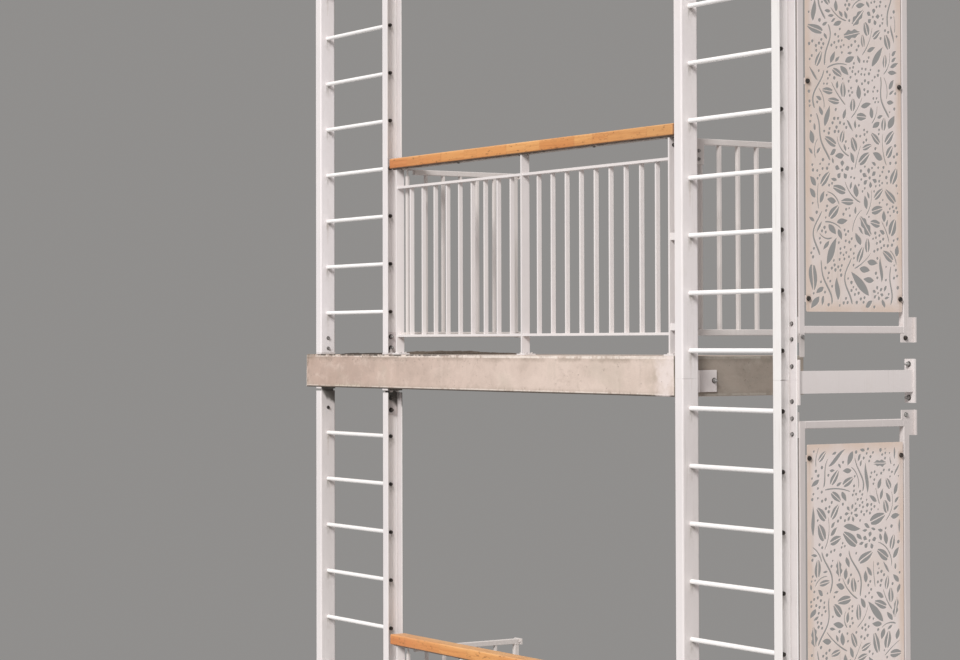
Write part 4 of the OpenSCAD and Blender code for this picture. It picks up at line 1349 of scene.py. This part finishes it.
def cut_panel(i):
    fld, w, h = pattern(i)
    base_z = LEV[i - 1] + 0.2075
    rr, corner = 0.006, []
    for cx, cy, a0 in ((w - rr, rr, -90), (w - rr, h - rr, 0), (rr, h - rr, 90), (rr, rr, 180)):
        for k in range(5):
            a = math.radians(a0 + 90 * k / 4)
            corner.append((cx + rr * math.cos(a), cy + rr * math.sin(a)))
    outer = []
    for k, p in enumerate(corner):
        q = corner[(k + 1) % len(corner)]
        n = max(1, int(math.hypot(q[0] - p[0], q[1] - p[1]) / 0.05))
        outer += [(p[0] + (q[0] - p[0]) * j / n, p[1] + (q[1] - p[1]) * j / n) for j in range(n)]
    loops = [outer] + fld.loops
    pts, edges, spans = [], [], []
    for lp in loops:
        s0 = len(pts)
        pts.extend(Vector(p) for p in lp)
        n = len(lp)
        edges.extend((s0 + k, s0 + (k + 1) % n) for k in range(n))
        spans.append((s0, n))
    vo, eo, fo, vs, es, fs = geometry.delaunay_2d_cdt(pts, edges, [], 1, 1e-7)
    tri = np.array([tuple(f) for f in fo if len(f) == 3])
    co = np.array([tuple(p) for p in vo])
    cen = co[tri].mean(axis=1)
    cut = np.zeros(len(tri), bool)
    for lp in fld.loops:
        arr = np.array(lp)
        lo_, hi_ = arr.min(0), arr.max(0)
        near = np.where((cen[:, 0] > lo_[0]) & (cen[:, 0] < hi_[0]) & (cen[:, 1] > lo_[1]) & (cen[:, 1] < hi_[1]))[0]
        if len(near):
            hit = inside(cen[near, 0], cen[near, 1], lp)
            cut[near[hit]] = True
    tri = tri[~cut]
    ins = inside(cen[~cut][:, 0], cen[~cut][:, 1], outer)
    tri = tri[ins]
    a_, b_, c_ = co[tri[:, 0]], co[tri[:, 1]], co[tri[:, 2]]
    area2 = (b_[:, 0] - a_[:, 0]) * (c_[:, 1] - a_[:, 1]) - (b_[:, 1] - a_[:, 1]) * (c_[:, 0] - a_[:, 0])
    tri[area2 < 0] = tri[area2 < 0][:, ::-1]
    tri = tri[np.abs(area2) > 1e-12]
    used = np.unique(tri)
    remap = -np.ones(len(co), int)
    remap[used] = np.arange(len(used))
    co2 = co[used]
    t = remap[tri]
    nfront = len(co2)
    xf, xb = 0.777, 0.774
    verts = [(xf, SH_Y0 + p[0], base_z + p[1]) for p in co2] + [(xb, SH_Y0 + p[0], base_z + p[1]) for p in co2]
    faces = [tuple(f) for f in t.tolist()] + [(f[0] + nfront, f[2] + nfront, f[1] + nfront) for f in t.tolist()]
    seen = {}
    for f in t.tolist():
        for k in range(3):
            e_ = (f[k], f[(k + 1) % 3])
            seen[e_] = seen.get(e_, 0) + 1
    for (p, q) in list(seen):
        if (q, p) not in seen:
            faces.append((q, p, p + nfront, q + nfront))
    s = Soup()
    s.add(verts, faces)
    ob = s.make(f"cut_screen_{i}", SHEET[i], "cut_sheet", [f"screen_sheet_{i}"], smooth=0)
    print("sheet", i, "openings", len(fld.loops), "share cut", round(fld.area / (w * h), 3), "faces", len(faces))
    return ob


for i in (1, 2, 3):
    cut_panel(i)

# ---------------------------------------------------------------------------
# leaf dirt that has drifted on the slabs, behind and between the left ladder's stiles
# ---------------------------------------------------------------------------


def leaf_dirt():
    """Dark crumbs of rotted leaf with paler scraps."""
    m = Mat("leaf_dirt")
    fine = m.noise(scale=160.0, detail=5, rough=0.7)
    coarse = m.noise(scale=30.0, detail=4, rough=0.65)
    c = m.mix(m.step(fine, 0.35, 0.65), (0.052, 0.037, 0.026, 1), (0.165, 0.120, 0.085, 1))
    c = m.mix(m.step(coarse, 0.50, 0.70, 0, 0.4), c, (0.100, 0.086, 0.042, 1))
    scrap = m.voronoi(scale=120.0)
    c = m.mix(m.mul(m.step(scrap, 0.24, 0.12), m.step(coarse, 0.46, 0.60)), c, (0.250, 0.165, 0.090, 1))
    # wetter and darker near the slab's front edge
    c = m.mix(m.step(m.y, 0.20, 0.15, 0, 0.75), c, (0.022, 0.015, 0.010, 1))
    n = m.bump(fine, 0.0030, 0.8)
    n = m.bump(scrap, 0.0015, 0.5, n)
    return m.finish(c, m.step(fine, 0.3, 0.7, 0.85, 0.95), n, 0.0)


LEAF_DIRT = leaf_dirt()


def drifted(soup, i, box, grid, height):
    """One drift: cells of a height field that stand proud of the slab, closed down into it."""
    lv = LEV[i]
    x0, x1, y0, y1 = box
    nx, ny = grid
    xs = [x0 + (x1 - x0) * a / nx for a in range(nx + 1)]
    ys = [y0 + (y1 - y0) * b / ny for b in range(ny + 1)]
    h = [[min(0.018, height(x, y)) for y in ys] for x in xs]
    cells = [(a, b) for a in range(nx) for b in range(ny)
             if min(h[a][b], h[a + 1][b], h[a][b + 1], h[a + 1][b + 1]) > 0.0008]
    index, top, low = {}, [], []
    for a, b in cells:
        for q in ((a, b), (a + 1, b), (a + 1, b + 1), (a, b + 1)):
            if q not in index:
                index[q] = len(top)
                top.append((xs[q[0]], ys[q[1]], lv + h[q[0]][q[1]]))
                low.append((xs[q[0]], ys[q[1]], lv - 0.0025))
    quads = [tuple(index[q] for q in ((a, b), (a + 1, b), (a + 1, b + 1), (a, b + 1))) for a, b in cells]
    m = len(top)
    edges = {(f[k], f[(k + 1) % 4]) for f in quads for k in range(4)}
    sides = [(q, p, p + m, q + m) for p, q in sorted(edges) if (q, p) not in edges]
    soup.add(top + low, quads + [tuple(v + m for v in reversed(f)) for f in quads] + sides)


for i in (1, 2, 3):
    def crumbs(x, y):
        return 0.0024 * noise.fractal(Vector((x * 70.0, y * 70.0, i * 1.3)), 0.6, 2.2, 3)

    def rear(x, y):
        along = min(1.0, max(0.0, (-2.560 - x) / 0.50)) ** 0.6 * min(1.0, max(0.55, (-2.7 - x) / 0.5))
        heap = noise.fractal(Vector((x * 5.0, y * 8.0, i * 3.7)), 0.8, 2.1, 4)
        return 0.018 * along * ((y - 0.300) / 0.462 * 1.10 - 0.34 + 0.34 * heap) + crumbs(x, y)

    def front(x, y):
        along = min(1.0, max(0.30, (x + 3.50) / 0.16)) * min(1.0, max(0.0, (-2.915 - x) / 0.03))
        across = 1.0 - abs((y - 0.035) / 0.075) ** 2
        heap = noise.fractal(Vector((x * 9.0, y * 6.0, i * 5.1)), 0.8, 2.1, 4)
        return 0.0080 * along * (across * 1.15 - 0.25 + 0.50 * heap) + crumbs(x, y) * 0.7 - 0.0006

    s = Soup()
    drifted(s, i, (-3.780, -2.540, 0.300, 0.762), (124, 36), rear)
    drifted(s, i, (-3.560, -2.915, -0.040, 0.110), (86, 20), front)
    s.make(f"leaf_dirt_{i}", LEAF_DIRT, "concrete", smooth=60)
    print("leaf dirt", i, "faces", len(s.f))

# ---------------------------------------------------------------------------
# nuts, bolts and anchors
# ---------------------------------------------------------------------------

PX, NX, PY, NY, PZ, NZ = (1, 0, 0), (-1, 0, 0), (0, 1, 0), (0, -1, 0), (0, 0, 1), (0, 0, -1)

s = Soup()
for k in range(33):
    z = 0.226 + 0.28 * k
    nut(s, (0.721, 0, z), PX, af=0.0180, h=0.0105, wash=0.0108)
    nut(s, (0.024, 0, z), NX, af=0.0180, h=0.0105, wash=0.0108)
s.make("rung_nuts_right", ZINC, "fasteners")

s = Soup()
for seg in (1, 2, 3, 4):
    for k in range(LEFT_N[seg]):
        z = LEFT_FIRST[seg] + 0.28 * k
        nut(s, (-2.864, 0, z), PX, af=0.0180, h=0.0105, wash=0.0108)
        nut(s, (-3.621, 0, z), NX, af=0.0180, h=0.0105, wash=0.0108)
s.make("rung_nuts_left", ZINC, "fasteners")

# washers given ring=dark go into the dark soup as painted shadow round paler nuts and heads
dark, grey, bright, painted = Soup(), Soup(), Soup(), Soup()
for i in (1, 2, 3):
    lv = LEV[i]
    # cleats of the left ladder: the outer stile takes one bolt less below the slab
    for z in (lv + 0.036, lv + 0.098, lv - 0.325):
        nut(dark, (-3.629, 0.0, z), NX, af=0.018, h=0.009, stub=0.007, wash=0.011)
        head(grey if z > lv else dark, (-3.615, 0.0, z), PX, af=0.0145, h=0.0068, wash=0.0112 if z > lv + 0.05 else 0.0102, ring=dark)
    for z in (lv + 0.038, lv + 0.103, lv - 0.253, lv - 0.325):
        nut(bright if z > lv else dark, (-2.856, 0.0, z), PX, af=0.0185, h=0.012, stub=0.012, wash=0.0142, ring=dark)
        head(dark, (-2.870, 0.0, z), NX, af=0.018, h=0.0072, wash=0.0115)
    for web, dr in ((-3.615, -1), (-2.870, 1)):
        for y in (-0.014, 0.030):
            nut(painted, (web + dr * 0.038, y, lv + 0.010), PZ, af=0.017, h=0.009, stub=0.012, wash=0.0115)
            head(painted, (web + dr * 0.038, y, lv - 0.210), NZ, af=0.017, h=0.008, wash=0.0115)
    # wall bars
    for z in (lv - 0.046, lv - 0.208):
        head(grey, (0.745, 0.044, z), NY, af=0.0140, h=0.0066, wash=0.0104, ring=dark)
        nut(painted, (0.745, 0.058, z), PY, wash=0.0125)
    for z in (lv - 0.040, lv - 0.200):
        nut(bright if z > lv - 0.1 else grey, (0.748, 0.760, z), NY, stub=0.012, wash=0.0135, ring=dark)
    # slab brackets
    nut(bright, (-0.034, 0.192, lv - 0.122), PX, stub=0.010, wash=0.0135, ring=dark)
    head(bright, (-0.006, 0.058, lv - 0.122), PY, wash=0.0125)
    nut(painted, (-0.006, 0.044, lv - 0.122), NY, stub=0.006, wash=0.0125)
    # front posts: countersunk-looking low heads through their foot plates
    for x in (-2.733, -1.414, -0.095):
        for q in (-0.026, 0.026):
            for y in (0.014, -0.021):
                head(painted, (x + q, y, lv + 0.008), PZ, af=0.012, h=0.0042, wash=0.0088)
    head(dark, (-0.089, -0.010, lv + 1.036), PX, af=0.013, h=0.0062, wash=0.0095)
    # right side railing on the ladder's rear flange
    for z in (lv + 0.968, lv + 1.022):
        head(painted, (-0.006, 0.056, z), PY, af=0.015, h=0.0065, wash=0.010)
        nut(painted, (-0.006, 0.044, z), NY, af=0.015, h=0.008, stub=0.005, wash=0.010)
    for z in (lv + 1.010, lv + 0.969):
        head(grey, (-0.059, 0.122, z), PX, af=0.0135, h=0.0062, wash=0.009)
        nut(grey, (-0.065, 0.122, z), NX, af=0.0135, h=0.007, stub=0.0, wash=0.009)
    # wall plates of both side railings
    for cx in (-2.673, -0.074):
        for zc in (lv + 0.115, lv + 1.0565):
            for q in (-0.0265, 0.0265):
                nut(painted, (cx + q, 0.762, zc), NY, af=0.012, h=0.0060, stub=0.004, wash=0.0085)
dark.make("plate_bolts", ZINC, "fasteners")
grey.make("plate_bolts_grey", GREY, "fasteners")
bright.make("plate_bolts_bright", GALV, "fasteners")
painted.make("plate_bolts_painted", PAINTED, "fasteners")

s = Soup()
for x in (0.0, 0.745, -2.840, -3.645):
    for a in (-0.05, 0.05):
        for b in (-0.06, 0.06):
            nut(s, (x + a, b, 0.012), PZ, af=0.019, h=0.0105, stub=0.014, wash=0.0125)
s.make("ground_anchors", GALV, "fasteners")

# washers given ring=dark go into the dark soup as painted shadow round paler heads
dark, grey, bright, painted = Soup(), Soup(), Soup(), Soup()
for i in (1, 2, 3):
    lo_, hi_ = LEV[i - 1], LEV[i]
    z0, z1 = lo_ + 0.106, hi_ - 0.300
    for z in (lo_ + 0.079, lo_ + 0.152, hi_ - 0.287, hi_ - 0.360):
        head(grey, (0.745, 0.044, z), NY, af=0.0138, h=0.0066, wash=0.0100, ring=dark)
    for z in (lo_ + 0.079, hi_ - 0.287):
        nut(painted, (0.745, 0.062, z), PY, af=0.017, h=0.009, stub=0.004, wash=0.0115)
    head(dark, (0.777, 0.711, z0 - 0.021), PX, af=0.017, h=0.007, wash=0.0115)
    head(bright, (0.777, 0.711, z1 + 0.021), PX, af=0.017, h=0.007, wash=0.0115)
    head(grey, (0.777, 0.078, z0 - 0.014), PX, af=0.015, h=0.0065, wash=0.0095)
    for y in (0.116, 0.680):
        for z in (0.2685, 1.2785, 2.2885):
            head(dark, (0.777, y, lo_ + z), PX, af=0.0185, h=0.0065, wash=0.0116)
            nut(dark, (0.768, y, lo_ + z), NX, af=0.0155, h=0.008, stub=0.005, wash=0.0105)
dark.make("screen_bolts", ZINC, "fasteners")
grey.make("screen_bolts_grey", GREY, "fasteners")
bright.make("screen_bolts_bright", GALV, "fasteners")
painted.make("screen_bolts_painted", PAINTED, "fasteners")

# ---------------------------------------------------------------------------
# welds
# ---------------------------------------------------------------------------

for i in (1, 2, 3):
    s = Soup()
    lv = LEV[i]
    for p, x in enumerate((-2.733, -1.414, -0.095)):
        for side in (-1, 1):
            if (p == 0 and side < 0) or (p == 2 and side > 0):
                continue
            for zlo in (0.9615, 0.102):
                bead_rect(s, "x", x + side * 0.006, -0.030, 0.010, lv + zlo, lv + zlo + 0.0135, 0.0017)
        bead_rect(s, "z", lv + 0.008, x - 0.006, x + 0.006, -0.035, 0.015, 0.0024)
        bead_rect(s, "z", lv + 1.073, x - 0.006, x + 0.006, -0.030, 0.010, 0.0018)
    for p in (0, 1):
        x_0 = (-2.733, -1.414)[p]
        for k in range(1, 10):
            x = x_0 + k * 0.1319
            for z in (lv + 0.1155, lv + 0.9615):
                bead_rect(s, "z", z, x - 0.006, x + 0.006, -0.018, 0.005, 0.0013)
    for z in (0.125, 0.568):
        bead_rect(s, "x", -0.089, -0.031, -0.023, lv + z, lv + z + 0.035, 0.0016)
        bead_rect(s, "x", 0.024, -0.031, -0.023, lv + z, lv + z + 0.035, 0.0016)
    s.make(f"welds_front_{i}", PAINT, "painted_steel")

    s = Soup()
    for cx, ys_ in ((-2.673, [0.130, 0.248, 0.366, 0.484, 0.602]), (-0.074, [0.024 + 0.118 * k for k in range(7)])):
        for y in ys_:
            for z in (lv + 0.130, lv + 1.0415):
                bead_rect(s, "z", z, cx - 0.012, cx + 0.012, y - 0.006, y + 0.006, 0.0015)
        for z in (lv + 0.100, lv + 1.0415):
            bead_rect(s, "y", 0.762, cx - 0.015, cx + 0.015, z, z + 0.030, 0.0020)
    bead_rect(s, "z", lv + 0.130, -2.688, -2.658, 0.7325, 0.762, 0.0018)
    bead_rect(s, "z", lv + 1.0415, -2.688, -2.658, 0.7325, 0.762, 0.0018)
    for z in (lv + 0.100, lv + 1.0415):
        bead(s, (-0.101, 0.021, z), (-0.101, 0.021, z + 0.03), 0.0016)
        bead(s, (-0.059, 0.021, z), (-0.059, 0.021, z + 0.03), 0.0016)
    s.make(f"welds_sides_{i}", PAINT_SIDE_SHADED, "painted_steel")

    s = Soup()
    z0, z1 = LEV[i - 1] + 0.106, LEV[i] - 0.300
    for y in (0.095, 0.701):
        for za, zb in ((z0, z0 + 0.035), (z1 - 0.035, z1)):
            bead(s, (0.7772, y, za + 0.002), (0.7772, y, zb - 0.002), 0.0012)
            bead(s, (0.7418, y, za + 0.002), (0.7418, y, zb - 0.002), 0.0012)
            inner = zb if za == z0 else za
            bead(s, (0.745, y, inner), (0.774, y, inner), 0.0018)
    for z in (z0 + 0.0175, z1 - 0.0175):
        bead(s, (0.742, 0.0605, z - 0.058), (0.742, 0.0605, z + 0.058), 0.0018)
    for z in (0.2685, 1.2785, 2.2885):
        for ya in (0.0955, 0.7005):
            bead(s, (0.768, ya, LEV[i - 1] + z - 0.013), (0.768, ya, LEV[i - 1] + z + 0.013), 0.0015)
    # wall bar of this storey
    zc = lv - 0.120
    for y, rad in ((0.0585, 0.0026), (0.7595, 0.0026)):
        bead(s, (0.7665, y, zc - 0.050), (0.7665, y, zc + 0.050), rad)
        bead(s, (0.7775, y, zc - 0.050), (0.7775, y, zc + 0.050), rad)
    # slab bracket's inner corner
    bead(s, (-0.0335, 0.0585, lv - 0.176), (-0.0335, 0.0585, lv - 0.072), 0.0026)
    # cleats of the left ladder
    for web, dr in ((-3.615, -1), (-2.870, 1)):
        for z in (lv + 0.0105, lv - 0.2105):
            bead(s, (web + dr * 0.0145, -0.038, z), (web + dr * 0.0145, 0.038, z), 0.0026)
    s.make(f"welds_plates_{i}", PAINT_FLAT, "painted_steel")

s = Soup()
for web, dr in ((0.030, -1), (0.715, 1), (-2.870, 1), (-3.615, -1)):
    for y in (-0.0505, 0.0505):
        bead(s, (web + dr * 0.010, y, 0.0125), (web + dr * 0.059, y, 0.0125), 0.0026)
    bead(s, (web - dr * 0.0005, -0.040, 0.0125), (web - dr * 0.0005, 0.040, 0.0125), 0.0026)
    bead(s, (web + dr * 0.0065, -0.040, 0.0125), (web + dr * 0.0065, 0.040, 0.0125), 0.0026)
s.make("welds_feet", PAINT_FLAT, "painted_steel")

# screws from below that hold the timber: beside each post and in the middle of each bay
s = Soup()
for i in (1, 2, 3):
    for x in (-2.700, -2.0735, -1.455, -1.373, -0.7545, -0.136):
        big = 1.7 if x in (-2.0735, -0.7545) else 1.0
        prof = [(0, -0.0001), (0.0046, -0.0001), (0.0046, 0.0006), (0.0040, 0.0020), (0.0026, 0.0029), (0.0013, 0.0031), (0.0008, 0.0022), (0, 0.0022)]
        v, f = lathe([(a * big, b * big) for a, b in prof], 16)
        for vv, ff in turned([(v, f)], (x, -0.018, LEV[i] + 1.073), NZ, 0.0):
            s.add(vv, ff)
s.make("timber_screws", ZINC, "fasteners")

# flush weld seams that close the butt joints of the right stiles
s = Soup()


def channel_ring(inset):
    """Outline of a stile's section, web inner face at 0, flanges towards +x."""
    half, length, t, ro = 0.050, 0.060, 0.006, 0.009
    ri = ro - t
    pts = []
    for k in range(7):
        a = math.pi + (math.pi / 2) * k / 6
        pts.append((ro + (ro - inset) * math.cos(a), -half + ro + (ro - inset) * math.sin(a)))
    pts += [(length - inset, -half + inset), (length - inset, -half + t - inset)]
    for k in range(7):
        a = 1.5 * math.pi - (math.pi / 2) * k / 6
        pts.append((t + ri + (ri + inset) * math.cos(a), -half + t + ri + (ri + inset) * math.sin(a)))
    low = list(pts)
    return low + [(x, -y) for x, y in reversed(low)]


for i in (1, 2, 3):
    zc = LEV[i] - 0.110
    for web, dr in ((0.030, -1), (0.715, 1)):
        verts, faces = [], []
        rows = ((0.0022, 0.00060), (0.0011, 0.00030), (0.0, 0.00022), (-0.0011, 0.00030), (-0.0022, 0.00060))
        for dz, ins in rows:
            ring_ = channel_ring(ins)
            n_ = len(ring_)
            verts += [(web + dr * x, y, zc + dz) for x, y in ring_]
        for a in range(len(rows) - 1):
            for k in range(n_):
                k2 = (k + 1) % n_
                q = (a * n_ + k, (a + 1) * n_ + k, (a + 1) * n_ + k2, a * n_ + k2)
                faces.append(q if dr > 0 else q[::-1])
        top_f = tuple(range(n_))
        low_f = tuple(reversed(range((len(rows) - 1) * n_, len(rows) * n_)))
        faces.append(top_f if dr > 0 else top_f[::-1])
        faces.append(low_f if dr > 0 else low_f[::-1])
        s.add(verts, faces)
s.make("butt_joint_seams", PAINT_RIGHT, "painted_steel", smooth=30)

# ---------------------------------------------------------------------------
# plain pale floor
# ---------------------------------------------------------------------------

v, f = lathe([(0, -0.05), (17.0, -0.05), (17.05, -0.02), (17.0, 0.0), (0, 0.0)], 96)
me = bpy.data.meshes.new("floor")
me.from_pydata([(x - 1.5, y + 0.35, z) for x, y, z in v], [], f)
me.materials.append(floor_mat())
floor = bpy.data.objects.new("floor", me)
SCENE.collection.objects.link(floor)
